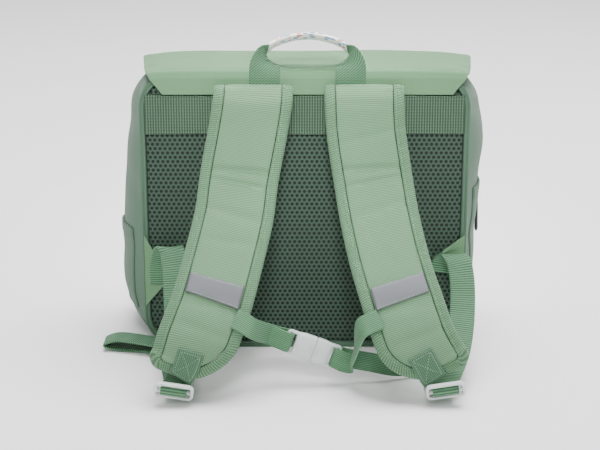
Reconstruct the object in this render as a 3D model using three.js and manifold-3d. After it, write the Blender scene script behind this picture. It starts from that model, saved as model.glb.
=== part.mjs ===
// Flap-over school satchel worn on the back, resting on its base with the harness side facing -Y.
// Millimetres, +Z up, origin on the floor under the middle of the bag.
import * as THREE from 'three';
import { mergeVertices } from 'three/addons/utils/BufferGeometryUtils.js';
import Module from 'manifold-3d';

const wasm = await Module();
wasm.setup();

// Sizes of the bag
const backWidth = 332; // back panel between its piped edges
const bagHeight = 291; // floor to the top of the gusset at the back
const bagDepth = 134; // back panel face to front face
const frontDrop = 8; // how much lower the gusset is at the front
const wall = 2.5; // lined cloth
const gap = 0.3; // between neighbouring pieces
const cornerRadius = 36;
const sideBulge = 27; // the most that a side swells past the back panel
const mouthWidth = 250;
const panelThickness = 6; // spacer mesh
const pipingRadius = 3.2;
const frontEdge = 8; // rounding of the shell's front edge
const bandWidth = 40;
const bandHeight = 228.5; // floor to the lower edge of the band
const bandThickness = 2;

// Sizes of the flap
const flapThickness = 2.4;
const flapBackWidth = 288; // at the seam on the back
const flapFrontWidth = 348;
const flapSeamHeight = 269.5;
const flapFrontLength = 140; // how far it hangs down the front
const flapEdgeDroop = 7;
const flapLift = 2; // between the gusset's top and the flap
const flapCrown = 1.5; // how far its top arches
const flapStand = 0.6; // between the front wall and the flap, past the gap
const harnessShift = 4; // the harness sits a little to the right of the middle

// Sizes of the harness
const strapSpacing = 109; // between the straps' centre lines at the top
const strapSplay = 66; // how far a strap's tip stands outside its top
const strapReach = 142; // how far a strap's tip stands out from the back
const strapTopHeight = 282;
const strapWidth = 78;
const strapThickness = 10;
const seamThickness = 3; // the strap where it is sewn in
const bindingWidth = 10.5;
const bindingThickness = 8.4;
const tipRadiusOuter = 20; // the tip's corner away from the other strap
const tipRadiusInner = 48; // its corner near the other strap
const tipSkew = 0.18; // how much further the tip runs down at its outer side, by the distance across
const tipRun = 60; // length over which that comes in
const stripWidth = 22; // reflective strip
const stripPlace = 0.69; // share of the strap's length
const trimThickness = 1;
const webbing = 25;
const webbingThickness = 1.8;
const tabLength = 28;
const tabShift = -2.4;

// Sizes of the hardware
const lockWidth = 38;
const lockHeight = 18;
const lockThickness = 4.5;
const lockBar = 3.2;
const lockShift = 7.5; // how far it hangs towards the strap's outer edge
const lockDrop = 10; // from the strap's tip down to the lock's middle
const lockStand = 8.5; // from the strap's tip forwards to it
const lockTurn = THREE.MathUtils.degToRad(9); // its outer end hangs higher
const lockLean = THREE.MathUtils.degToRad(20); // its lower edge hangs nearer to the bag
const chestWebbing = 20;
const buckleLength = 56;
const buckleWidth = 26;
const buckleThickness = 8;
const buckleBar = 3;
const buckleSlot = 7;

// Sizes of the handle
const handleWebbing = 30;
const handleSpread = 85; // between the two sewn ends
const handleHeight = 326; // floor to the crown of the grip's webbing
const handleShift = -1; // from the middle of the harness
const handleLean = THREE.MathUtils.degToRad(17); // the grip's front edge stands higher
const sleeveWidth = 34;
const sleeveThickness = 5.6;

// Sizes of the small pieces at the sides
const pocketThickness = 1.6;
const pocketGap = 0.4; // between a side pocket and the gusset
const zipWidth = 14;
const zipLength = 150;
const zipThickness = 1.4;
const zipGap = 0.6; // between its tape and the gusset
const zipPlace = 0.7; // share of the shell's depth
const zipStart = 0.7; // level of its lower end, of five on the side's straight part
const zipRest = 2.6; // level where the slider stands
const pullLength = 42;
const pullWidth = 6.5;
const wingWidth = 22;
const claspWidth = 34;
const claspHeight = 46;
const claspThickness = 4.2;
const claspSpacing = 170; // between the two clasps

const backY = -70; // outer face of the back panel
const shellBackY = backY + panelThickness + gap;
const shellDepth = bagDepth - panelThickness - gap;
const flapY = backY - gap - flapThickness / 2 - 1;

const colours = {
  shell: '#8bb08b', flap: '#a6c4a4', panel: '#41634c', piping: '#7da583', band: '#7fa887', strap: '#9dbf9b',
  binding: '#86ad83', webbing: '#6d9c78', tab: '#6d9c78', strip: '#9a9ba3', lock: '#e9edee',
  sleeve: '#e6e4df',
  dark: '#3b3c42', pocket: '#86ab87',
};

// How far a side swells, as a share of sideBulge, by height as a share of bagHeight
const bulgeTable = [
  // up, left, right
  { up: 0, left: 0.2, right: 0.2 },
  { up: 0.09, left: 0.72, right: 0.42 },
  { up: 0.32, left: 0.98, right: 0.5 },
  { up: 0.52, left: 0.9, right: 0.6 },
  { up: 0.73, left: 0.7, right: 0.8 },
  { up: 0.87, left: 0.5, right: 0.55 },
  { up: 1, left: 0.15, right: 0.18 },
];

// How much of that swelling shows, and the rounding as a share of frontEdge, by share of the shell's depth
const swellTable = [
  { back: 0, swell: 0, rounding: 0 }, { back: 0.12, swell: 0.42, rounding: 0 },
  { back: 0.35, swell: 0.88, rounding: 0 }, { back: 0.56, swell: 1, rounding: 0 },
  { back: 0.78, swell: 0.9, rounding: 0 }, { back: 0.93, swell: 0.66, rounding: 0 },
  { back: 0.975, swell: 0.5, rounding: 0.3 }, { back: 1, swell: 0.3, rounding: 1 },
];

// Centre line of each strap: out is a share of strapSplay, reach of strapReach, up of strapTopHeight
const strapRoutes = {
  left: [
    { out: 0, reach: 0.029, up: 0.93 }, { out: 0, reach: 0.062, up: 0.962 },
    { out: 0, reach: 0.105, up: 0.992 },
    { out: 0, reach: 0.162, up: 0.962 }, { out: 0.076, reach: 0.169, up: 0.846 },
    { out: 0.212, reach: 0.225, up: 0.68 }, { out: 0.282, reach: 0.352, up: 0.564 },
    { out: 0.43, reach: 0.563, up: 0.434 }, { out: 0.585, reach: 0.789, up: 0.318 },
    { out: 0.77, reach: 0.937, up: 0.213 }, { out: 0.89, reach: 0.995, up: 0.131 },
    { out: 1, reach: 1, up: 0.09 },
  ],
  right: [
    { out: 0, reach: 0.029, up: 0.93 }, { out: 0, reach: 0.062, up: 0.962 },
    { out: 0, reach: 0.105, up: 0.992 },
    { out: 0, reach: 0.162, up: 0.962 }, { out: 0.027, reach: 0.169, up: 0.846 },
    { out: 0.136, reach: 0.225, up: 0.68 }, { out: 0.223, reach: 0.352, up: 0.564 },
    { out: 0.361, reach: 0.563, up: 0.434 }, { out: 0.536, reach: 0.789, up: 0.318 },
    { out: 0.718, reach: 0.937, up: 0.206 }, { out: 0.9, reach: 0.995, up: 0.131 },
    { out: 1.02, reach: 1, up: 0.092 },
  ],
};

const xAxis = new THREE.Vector3(1, 0, 0);
const group = new THREE.Group();

// Adds one named piece with its own material
function addPiece(name, geometry, colour, roughness = 0.9, metalness = 0) {
  const material = new THREE.MeshStandardMaterial({ color: colour, roughness, metalness });
  const mesh = new THREE.Mesh(geometry, material);
  mesh.name = name;
  group.add(mesh);
  return mesh;
}

// Straight-line reading of a table at one place
function readTable(rows, key, column, place) {
  const next = rows.findIndex((row) => row[key] >= place);
  if (next === 0) return rows[0][column];
  if (next < 0) return rows[rows.length - 1][column];
  const a = rows[next - 1];
  const b = rows[next];
  const share = (place - a[key]) / (b[key] - a[key]);
  return a[column] + (b[column] - a[column]) * share;
}

// Joins equal rings of points into one closed body: a loop, or with a fan of triangles at each end
function loft(rings, loop = false) {
  const count = rings[0].length;
  const points = rings.flat();
  const faces = [];
  for (let i = 0; i < rings.length - (loop ? 0 : 1); i += 1) {
    const next = (i + 1) % rings.length;
    for (let j = 0; j < count; j += 1) {
      const a = i * count + j;
      const b = i * count + ((j + 1) % count);
      const c = next * count + j;
      const d = next * count + ((j + 1) % count);
      faces.push(a, b, c, b, d, c);
    }
  }
  for (const end of loop ? [] : [0, rings.length - 1]) {
    const middle = new THREE.Vector3();
    rings[end].forEach((point) => middle.addScaledVector(point, 1 / count));
    const hub = points.push(middle) - 1;
    for (let j = 0; j < count; j += 1) {
      const a = end * count + j;
      const b = end * count + ((j + 1) % count);
      faces.push(...(end === 0 ? [b, a, hub] : [a, b, hub]));
    }
  }
  return outwards(points, faces);
}

// Closes two grids of points, the inner and outer face of a sheet, into one body
function sheet(inner, outer) {
  const columns = inner[0].length;
  const points = [...inner.flat(), ...outer.flat()];
  const faces = [];
  const at = (layer, i, j) => layer * inner.length * columns + i * columns + j;
  const quad = (a, b, c, d) => faces.push(a, b, c, a, c, d);
  for (let i = 0; i < inner.length - 1; i += 1) {
    for (let j = 0; j < columns - 1; j += 1) {
      quad(at(0, i, j), at(0, i, j + 1), at(0, i + 1, j + 1), at(0, i + 1, j));
      quad(at(1, i, j), at(1, i + 1, j), at(1, i + 1, j + 1), at(1, i, j + 1));
    }
    const last = columns - 1;
    quad(at(0, i, 0), at(0, i + 1, 0), at(1, i + 1, 0), at(1, i, 0));
    quad(at(0, i, last), at(1, i, last), at(1, i + 1, last), at(0, i + 1, last));
  }
  for (let j = 0; j < columns - 1; j += 1) {
    const last = inner.length - 1;
    quad(at(0, 0, j), at(1, 0, j), at(1, 0, j + 1), at(0, 0, j + 1));
    quad(at(0, last, j), at(0, last, j + 1), at(1, last, j + 1), at(1, last, j));
  }
  return outwards(points, faces);
}

// Makes the geometry, turned so that its volume is positive
function outwards(points, faces) {
  let volume = 0;
  for (let i = 0; i < faces.length; i += 3) {
    const [a, b, c] = [points[faces[i]], points[faces[i + 1]], points[faces[i + 2]]];
    volume += a.dot(new THREE.Vector3().crossVectors(b, c));
  }
  const order = volume < 0 ? faces.map((_, i) => faces[i - (i % 3) + 2 - (i % 3)]) : faces;
  const geometry = new THREE.BufferGeometry();
  geometry.setAttribute('position', new THREE.Float32BufferAttribute(points.flatMap((p) => p.toArray()), 3));
  geometry.setIndex(order);
  geometry.computeVertexNormals();
  return geometry;
}

// Carries a profile of [across, out] pairs through frames of a point, an across and an out direction
function sweep(frames, profileAt) {
  return loft(frames.map((frame, i) => profileAt(i).map(([across, out]) => frame.point.clone()
    .addScaledVector(frame.across, across)
    .addScaledVector(frame.out, out))));
}

function smoothCurve(points) {
  return new THREE.CatmullRomCurve3(points, false, 'centripetal');
}

// Flat webbing through a list of stations, each with a point and the direction across the webbing
function ribbon(stations, width, thickness, steps) {
  const route = smoothCurve(stations.map((s) => new THREE.Vector3(...s.point)));
  const turn = smoothCurve(stations.map((s) => new THREE.Vector3(...s.across)));
  const frames = [];
  for (let i = 0; i <= steps; i += 1) {
    const tangent = route.getTangent(i / steps);
    const across = turn.getPoint(i / steps);
    across.addScaledVector(tangent, -across.dot(tangent)).normalize();
    const out = new THREE.Vector3().crossVectors(tangent, across);
    frames.push({ point: route.getPoint(i / steps), across, out });
  }
  const half = width / 2;
  const thick = thickness / 2;
  return sweep(frames, () => [[-half, -thick], [half, -thick], [half, thick], [-half, thick]]);
}

// Turns a geometry into a solid that can be cut
function toSolid(geometry) {
  const bare = geometry.clone();
  bare.deleteAttribute('normal');
  bare.deleteAttribute('uv');
  const merged = mergeVertices(bare, 1e-4);
  return new wasm.Manifold(new wasm.Mesh({
    numProp: 3,
    vertProperties: new Float32Array(merged.attributes.position.array),
    triVerts: new Uint32Array(merged.index.array),
  }));
}

function fromSolid(solid) {
  const mesh = solid.getMesh();
  const geometry = new THREE.BufferGeometry();
  geometry.setAttribute('position', new THREE.Float32BufferAttribute(mesh.vertProperties, 3));
  geometry.setIndex(Array.from(mesh.triVerts));
  geometry.computeVertexNormals();
  return geometry;
}

function boxBetween(low, high) {
  const geometry = new THREE.BoxGeometry(high[0] - low[0], high[1] - low[1], high[2] - low[2]);
  return geometry.translate((low[0] + high[0]) / 2, (low[1] + high[1]) / 2, (low[2] + high[2]) / 2);
}

// Half width of the bag on one side at a height and a depth, both as shares
function sideReach(side, up, back) {
  const column = side < 0 ? 'left' : 'right';
  const bulge = readTable(bulgeTable, 'up', column, up) * readTable(swellTable, 'back', 'swell', back);
  return backWidth / 2 + sideBulge * bulge;
}

// One ring of the bag at a depth: a rounded rectangle in XZ whose sides swell, moved in by inset
function bodyRing(back, thickness) {
  const inset = thickness + frontEdge * readTable(swellTable, 'back', 'rounding', back);
  const y = shellBackY + shellDepth * back;
  const top = bagHeight - frontDrop * back - inset;
  const radius = cornerRadius - inset;
  const ring = [];
  const addPoint = (side, x, z) => {
    const up = THREE.MathUtils.clamp(z / bagHeight, 0, 1);
    const spare = sideReach(side, up, back) - backWidth / 2;
    const share = THREE.MathUtils.smoothstep(x, backWidth / 2 - cornerRadius - 10, backWidth / 2 - inset - 4);
    ring.push(new THREE.Vector3(side * (x + spare * share), y, z));
  };
  const half = backWidth / 2 - inset;
  const arc = (side, centreZ, from, to) => {
    for (let i = 0; i <= 4; i += 1) {
      const angle = THREE.MathUtils.degToRad(from + ((to - from) * i) / 4);
      addPoint(side, half - radius + radius * Math.cos(angle), centreZ + radius * Math.sin(angle));
    }
  };
  const side = (which, from, to) => {
    for (let i = 1; i < 5; i += 1) addPoint(which, half, from + ((to - from) * i) / 5);
  };
  arc(1, inset + radius, -90, 0);
  side(1, inset + radius, top - radius);
  arc(1, top - radius, 0, 90);
  arc(-1, top - radius, 90, 0);
  side(-1, top - radius, inset + radius);
  arc(-1, inset + radius, 0, -90);
  return ring;
}

// The bag's hollow shell, open at the top between the folded corners of the gusset
function makeShell() {
  const outer = loft(swellTable.map((row) => bodyRing(row.back, 0)));
  const edge = wall / shellDepth;
  const places = swellTable.map((row) => edge + row.back * (1 - 2 * edge));
  const inner = loft(places.map((place) => bodyRing(place, wall)));
  const half = mouthWidth / 2;
  const mouth = boxBetween(
    [-half, shellBackY + wall, bagHeight - cornerRadius],
    [half, shellBackY + shellDepth - wall, bagHeight + cornerRadius],
  );
  return fromSolid(toSolid(outer).subtract(toSolid(inner)).subtract(toSolid(mouth)));
}

// Outline of the back panel in XZ, moved in by inset
function panelShape(inset) {
  const half = backWidth / 2 - inset;
  const radius = cornerRadius - inset;
  const low = inset;
  const high = bagHeight - inset;
  const shape = new THREE.Shape();
  shape.absarc(half - radius, low + radius, radius, -Math.PI / 2, 0, false);
  shape.absarc(half - radius, high - radius, radius, 0, Math.PI / 2, false);
  shape.absarc(-half + radius, high - radius, radius, Math.PI / 2, Math.PI, false);
  shape.absarc(-half + radius, low + radius, radius, Math.PI, Math.PI * 1.5, false);
  shape.closePath();
  return shape;
}

// Extrudes a shape drawn in XZ from one y towards the back of the wearer
function extrudeXZ(shape, y, depth, options = {}) {
  const settings = { depth, bevelEnabled: false, curveSegments: 6, ...options };
  const geometry = new THREE.ExtrudeGeometry(shape, settings);
  return geometry.rotateX(Math.PI / 2).translate(0, y + depth, 0);
}

function makeBackPanel() {
  const inset = pipingRadius * 2 + gap;
  return extrudeXZ(panelShape(inset), backY, panelThickness);
}

// Round piping in the seam between the back panel and the gusset
function makePiping() {
  const y = shellBackY - gap - pipingRadius;
  const half = backWidth / 2 - cornerRadius;
  const corners = [[1, cornerRadius, -90], [1, bagHeight - cornerRadius, 0],
    [-1, bagHeight - cornerRadius, 90], [-1, cornerRadius, 180]];
  const rings = [];
  for (const [side, height, start] of corners) {
    for (let i = 0; i <= 6; i += 1) {
      const turn = THREE.MathUtils.degToRad(start + 15 * i);
      rings.push([0, 1, 2, 3, 4, 5, 6, 7].map((k) => {
        const angle = (k / 8) * Math.PI * 2;
        const reach = cornerRadius - pipingRadius + pipingRadius * Math.cos(angle);
        return new THREE.Vector3(
          side * half + reach * Math.cos(turn),
          y + pipingRadius * Math.sin(angle),
          height + reach * Math.sin(turn),
        );
      }));
    }
  }
  return loft(rings, true);
}

// The flap: a strip of cloth carried from the back seam over the top and down the front
function makeFlap() {
  const topBack = bagHeight + flapLift + flapThickness / 2;
  const topFront = topBack - frontDrop;
  const frontY = backY + bagDepth + gap + flapStand + flapThickness / 2;
  const bend = 8;
  const grow = flapFrontWidth - flapBackWidth;
  const low = topFront - flapFrontLength;
  const over = (share, widening) => ({
    y: THREE.MathUtils.lerp(flapY, frontY, share),
    z: THREE.MathUtils.lerp(topBack, topFront, share) + flapCrown,
    width: flapBackWidth + grow * widening,
    droop: 1,
  });
  const corner = flapFrontWidth - cornerRadius * 0.7;
  const rows = [
    { y: flapY, z: flapSeamHeight, width: flapBackWidth, droop: 0 },
    { y: flapY, z: flapSeamHeight + 5, width: flapBackWidth + grow * 0.12, droop: 0 },
    { y: flapY, z: topBack - bend, width: flapBackWidth + grow * 0.42, droop: 0.15 },
    { y: flapY + bend * 0.22, z: topBack - bend * 0.22, width: flapBackWidth + grow * 0.5, droop: 0.4 },
    { y: flapY + bend, z: topBack, width: flapBackWidth + grow * 0.56, droop: 0.7 },
    over(0.35, 0.75),
    over(0.7, 0.93),
    { y: frontY - bend, z: topFront, width: flapFrontWidth, droop: 0.8 },
    { y: frontY - bend * 0.22, z: topFront - bend * 0.22, width: flapFrontWidth, droop: 0.4 },
    { y: frontY, z: topFront - bend, width: flapFrontWidth, droop: 0.1 },
    { y: frontY, z: topFront - flapFrontLength * 0.5, width: flapFrontWidth, droop: 0 },
    { y: frontY, z: low + cornerRadius * 0.7, width: flapFrontWidth, droop: 0 },
    { y: frontY, z: low + cornerRadius * 0.2, width: corner, droop: 0 },
    { y: frontY, z: low, width: flapFrontWidth - cornerRadius * 1.8, droop: 0 },
  ];
  const shift = harnessShift * 0.75;
  const across = [-1, -0.93, -0.82, -0.5, 0, 0.5, 0.82, 0.93, 1];
  const centre = (row, share) => new THREE.Vector3(
    shift + (share * row.width) / 2,
    row.y,
    row.z - flapEdgeDroop * row.droop * Math.abs(share) ** 8,
  );
  const rings = rows.map((row, i) => {
    const before = rows[Math.max(i - 1, 0)];
    const after = rows[Math.min(i + 1, rows.length - 1)];
    const out = new THREE.Vector3(0, after.y - before.y, after.z - before.z).normalize();
    out.set(0, -out.z, out.y);
    return [-1, 1].map((side) => across.map((share) => (
      centre(row, share).addScaledVector(out, (side * flapThickness) / 2)
    )));
  });
  return sheet(rings.map((ring) => ring[0]), rings.map((ring) => ring[1]));
}

function makeBand() {
  const half = backWidth / 2 - pipingRadius * 2 - gap;
  const low = backY - gap - bandThickness;
  return boxBetween([-half, low, bandHeight], [half, backY - gap, bandHeight + bandWidth]);
}

// Centre line of one strap as a smooth curve
function strapCurve(side) {
  const sign = side === 'left' ? -1 : 1;
  const points = strapRoutes[side].map((row) => new THREE.Vector3(
    harnessShift + sign * (strapSpacing / 2 + strapSplay * row.out),
    backY - strapReach * row.reach,
    strapTopHeight * row.up,
  ));
  return smoothCurve(points);
}

const straps = {};
for (const side of ['left', 'right']) {
  const curve = strapCurve(side);
  straps[side] = { curve, length: curve.getLength(), sign: side === 'left' ? -1 : 1 };
}

// Point and directions at a place along a strap: across runs towards +X, out is the strap's outer face
function strapFrame(strap, along) {
  const share = THREE.MathUtils.clamp(along / strap.length, 0, 1);
  const tangent = strap.curve.getTangentAt(share);
  const across = xAxis.clone().addScaledVector(tangent, -xAxis.dot(tangent)).normalize();
  const out = new THREE.Vector3().crossVectors(tangent, across);
  const point = strap.curve.getPointAt(share).addScaledVector(tangent, along - share * strap.length);
  return { point, tangent, across, out };
}

// Place on a strap: along it, across it and out from its middle
function onStrap(strap, along, across, out) {
  const frame = strapFrame(strap, along);
  return frame.point.addScaledVector(frame.across, across).addScaledVector(frame.out, out);
}

// How much further along the strap its cut lies at a distance across, because the tip is cut at a slant
function tipSlant(strap, along, across) {
  const share = THREE.MathUtils.smoothstep(along, strap.length - tipRun, strap.length);
  return across * strap.sign * tipSkew * share;
}

// Thickness of a strap, thin where it is sewn in and where it folds over
function strapFill(along) {
  return THREE.MathUtils.smoothstep(along, 8, 44);
}

const bindingGap = 0.7; // between the padding and its binding
const coreHalf = strapWidth / 2 - bindingWidth - bindingGap;

// Corner radius of a strap's tip on the side of the given sign, less what lies outside it
function tipRadius(strap, side, margin) {
  return (side === strap.sign ? tipRadiusOuter : tipRadiusInner) - margin;
}

// Reach of a strap's padding to one side, rounded off at the tip
function coreReach(strap, along, side) {
  const left = Math.max(0, strap.length - bindingWidth - bindingGap - along);
  const radius = tipRadius(strap, side, bindingWidth + bindingGap);
  if (left >= radius) return coreHalf;
  return coreHalf - radius + Math.sqrt(Math.max(0, radius ** 2 - (radius - left) ** 2));
}

function makeStrap(strap) {
  const end = strap.length - bindingWidth - bindingGap;
  const tip = tipRadiusInner - bindingWidth - bindingGap;
  const run = end - tip;
  const places = [];
  for (let i = 0; i <= 26; i += 1) {
    const share = i < 12 ? (i / 12) * 0.27 : 0.27 + ((i - 12) / 14) * 0.73;
    places.push(run * share);
  }
  for (const share of [0.82, 0.64, 0.47, 0.32, 0.2, 0.1, 0.03, 0]) places.push(end - tip * share);
  return loft(places.map((along) => {
    const left = coreReach(strap, along, -1);
    const right = coreReach(strap, along, 1);
    const thick = THREE.MathUtils.lerp(seamThickness, strapThickness, strapFill(along)) / 2;
    const profile = [
      [-left, -0.6 * thick], [-0.84 * left, -thick], [0, -thick],
      [0.84 * right, -thick], [right, -0.6 * thick],
      [right, 0.6 * thick], [0.84 * right, 0.95 * thick], [0, 1.05 * thick], [-0.84 * left, 0.95 * thick],
      [-left, 0.6 * thick],
    ];
    return profile.map(([across, out]) => (
      onStrap(strap, along + tipSlant(strap, along, across), across, out)
    ));
  }));
}

// Outline of one half of a strap's binding, from the seam to the tip, with the turn of its outward direction
function bindingRoute(strap, side) {
  const half = coreHalf + bindingGap;
  const end = strap.length - bindingWidth;
  const radius = tipRadius(strap, side, bindingWidth);
  const run = end - radius;
  const route = [];
  for (let i = 0; i <= 26; i += 1) {
    const share = i < 12 ? (i / 12) * 0.24 : 0.24 + ((i - 12) / 14) * 0.76;
    route.push({ along: run * share, across: side * half, turn: 0 });
  }
  for (let i = 1; i <= 6; i += 1) {
    const turn = (Math.PI / 2) * (i / 6);
    const reach = half - radius * (1 - Math.cos(turn));
    route.push({ along: run + radius * Math.sin(turn), across: side * reach, turn });
  }
  return route.map((place) => ({ ...place, side }));
}

// Folded binding round both edges and the tip of a strap
function makeBinding(strap) {
  const places = [...bindingRoute(strap, -1), ...bindingRoute(strap, 1).reverse()];
  const frames = places.map(({ along, across, turn, side }) => {
    const frame = strapFrame(strap, along);
    const outward = frame.across.clone().multiplyScalar(side * Math.cos(turn))
      .addScaledVector(frame.tangent, Math.sin(turn));
    const point = onStrap(strap, along + tipSlant(strap, along, across), across, 0);
    return { point, across: outward, out: frame.out, along };
  });
  return sweep(frames, (i) => {
    const thick = THREE.MathUtils.lerp(seamThickness, bindingThickness, strapFill(frames[i].along)) / 2;
    const width = bindingWidth;
    return [
      [0, -thick], [0, thick], [0.55 * width, thick], [0.88 * width, 0.6 * thick], [width, 0],
      [0.88 * width, -0.6 * thick], [0.55 * width, -thick],
    ];
  });
}

// A thin patch sewn on a strap's outer face: skew shifts one end along the strap, shift moves it across
function makePatch(strap, along, width, height, skew, shift) {
  const face = (strapThickness / 2) * 1.05 + 2 * gap;
  const shares = [0, 0.25, 0.5, 0.75, 1];
  const grid = (out) => shares.map((i) => {
    const across = width * (i - 0.5);
    return shares.map((j) => onStrap(strap, along + skew * (i - 0.5) + height * j, across + shift, out));
  });
  return sheet(grid(face), grid(face + trimThickness));
}

// Frame of the hardware at a strap's tip: across to the right, down along it, and in towards the bag
function lockFrame(strap) {
  const across = new THREE.Vector3(Math.cos(lockTurn), 0, strap.sign * Math.sin(lockTurn));
  const down = new THREE.Vector3(0, Math.sin(lockLean), -Math.cos(lockLean));
  down.addScaledVector(across, -down.dot(across)).normalize();
  const point = strapFrame(strap, strap.length).point.add(new THREE.Vector3(
    strap.sign * lockShift,
    -lockStand,
    -lockDrop,
  ));
  return new THREE.Matrix4().makeBasis(across, down, across.clone().cross(down)).setPosition(point);
}

// Ladder lock: an acetal frame with three bars, drawn flat and moved into place
function makeLock(strap) {
  const shape = roundedRect(lockWidth, lockHeight, 3);
  const slot = (lockHeight - 3 * lockBar) / 2;
  for (const place of [-1, 1]) {
    const hole = roundedRect(webbing + 6, slot, 0.8, new THREE.Path());
    const shifted = hole.getPoints(3).map((p) => new THREE.Vector2(p.x, p.y + place * (slot + lockBar) / 2));
    shape.holes.push(new THREE.Path(shifted));
  }
  return flatPlate(shape, lockThickness).applyMatrix4(lockFrame(strap));
}

function roundedRect(width, height, radius, path = new THREE.Shape()) {
  const x = width / 2 - radius;
  const y = height / 2 - radius;
  path.absarc(x, -y, radius, -Math.PI / 2, 0, false);
  path.absarc(x, y, radius, 0, Math.PI / 2, false);
  path.absarc(-x, y, radius, Math.PI / 2, Math.PI, false);
  path.absarc(-x, -y, radius, Math.PI, Math.PI * 1.5, false);
  return path;
}

// Stations of webbing that passes round the lock's middle bar, in the lock's own frame
function lockStations(strap, tail) {
  const matrix = lockFrame(strap);
  const across = new THREE.Vector3().setFromMatrixColumn(matrix, 0).toArray();
  const slot = (lockHeight - 3 * lockBar) / 2;
  const middle = (slot + lockBar) / 2;
  const over = lockThickness / 2 + gap + webbingThickness / 2;
  const local = [
    [0, 0.5, over + 4.5], [0, -middle, over - 1], [0, -middle, 0], [0, -middle + 1, 0.4 - over],
    [0, 0, -over - 0.6], [0, middle - 1, 0.4 - over], [0, middle, 0], [0, middle + 0.5, over - 1],
  ];
  const stations = local.map((p) => (
    { point: new THREE.Vector3(...p).applyMatrix4(matrix).toArray(), across }
  ));
  return [...stations, ...tail];
}

// Cloth between the bag's side seam and the webbing of a strap, its heights as shares of bagHeight
const wingHeights = {
  left: { low: 0.163, apexLow: 0.251, apexHigh: 0.282, high: 0.423 },
  right: { low: 0.275, apexLow: 0.335, apexHigh: 0.365, high: 0.423 },
};

function makeWing(side) {
  const sign = side === 'left' ? -1 : 1;
  const seam = sign * (backWidth / 2 - pipingRadius * 2 + 4);
  const apex = seam - sign * wingWidth;
  const up = wingHeights[side];
  const shape = new THREE.Shape();
  shape.moveTo(seam, bagHeight * up.low);
  shape.lineTo(apex, bagHeight * up.apexLow);
  shape.lineTo(apex, bagHeight * up.apexHigh);
  shape.lineTo(seam, bagHeight * up.high);
  shape.closePath();
  return extrudeXZ(shape, backY - 3 * gap - wall, wall);
}

// Length adjuster: from the wing up over a fold, down behind the strap and round the lock's middle bar
function makeAdjuster(side) {
  const strap = straps[side];
  const { sign } = strap;
  const seat = backY - 4 * gap - wall - webbingThickness / 2;
  const seam = backWidth / 2;
  const flat = webbingThickness / 2 + 1;
  const lockMatrix = lockFrame(strap);
  const lockPlace = sign * new THREE.Vector3().setFromMatrixPosition(lockMatrix).x;
  const upright = (x, y, z) => ({ point: [sign * x, y, z], across: [1, 0, 0] });
  const lying = (x, y, z) => ({ point: [sign * x, y, z], across: [0, -sign, 0] });
  const route = {
    left: [
      upright(seam - 20, seat, 72), upright(seam - 20, seat - 1, 88), upright(seam - 25, seat - 9, 110),
      upright(seam - 31, seat - 19, 116), upright(seam - 35, seat - 28, 104),
      upright(seam - 38, seat - 48, 74),
      upright(seam - 42, seat - 88, 44), upright(lockPlace - 4, seat - 121, 22),
    ],
    right: [
      upright(seam - 24, seat, 84), upright(seam - 22, seat - 1, 96), upright(seam - 16, seat - 10, 106),
      upright(seam - 11, seat - 20, 104), upright(seam - 8, seat - 30, 91), upright(seam - 8, seat - 48, 67),
      upright(seam - 15, seat - 86, 38), upright(lockPlace + 5.68, seat - 121, 22),
    ],
  };
  const tails = {
    left: [
      upright(lockPlace - 2, seat - 130, 8.5), upright(lockPlace, seat - 105, flat + 1.2),
      upright(seam - 34, seat - 55, flat),
      upright(seam - 27, seat - 22, flat), lying(seam - 6, seat - 3, flat), lying(seam + 30, seat + 3, flat),
      lying(seam + 42, seat + 3, flat + 4.5), lying(seam + 31, seat + 3, flat + 9.5),
      lying(seam - 14, seat + 3 - 16, flat + 10.5),
    ],
    right: [
      upright(lockPlace - 0.32, seat - 130, 8.5), upright(lockPlace - 3.32, seat - 105, flat + 1.2),
      upright(seam - 35, seat - 60, flat),
      upright(seam - 34, seat - 28, flat),
    ],
  };
  const across = new THREE.Vector3().setFromMatrixColumn(lockMatrix, 0);
  route[side][route[side].length - 1].across = across.toArray();
  tails[side][0].across = across.clone().add(xAxis).normalize().toArray();
  const stations = [...route[side], ...lockStations(strap, tails[side])];
  return ribbon(stations, webbing, webbingThickness, side === 'left' ? 76 : 64);
}

// Chest strap: a side-release buckle between two lengths of narrow webbing
const buckleTilt = THREE.MathUtils.degToRad(20);
const buckleMiddle = new THREE.Vector3(harnessShift + 3, backY - strapReach * 0.7, 38);

// Place in the buckle's own frame: along it to the right, down across it, and in towards the bag
function onBuckle(along, down, inward) {
  const x = along * Math.cos(buckleTilt) - down * Math.sin(buckleTilt);
  const z = -along * Math.sin(buckleTilt) - down * Math.cos(buckleTilt);
  return new THREE.Vector3(x, inward, z).add(buckleMiddle);
}

function buckleMatrix() {
  const along = onBuckle(1, 0, 0).sub(buckleMiddle);
  const down = onBuckle(0, 1, 0).sub(buckleMiddle);
  return new THREE.Matrix4().makeBasis(along, down, new THREE.Vector3(0, 1, 0)).setPosition(buckleMiddle);
}

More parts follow.
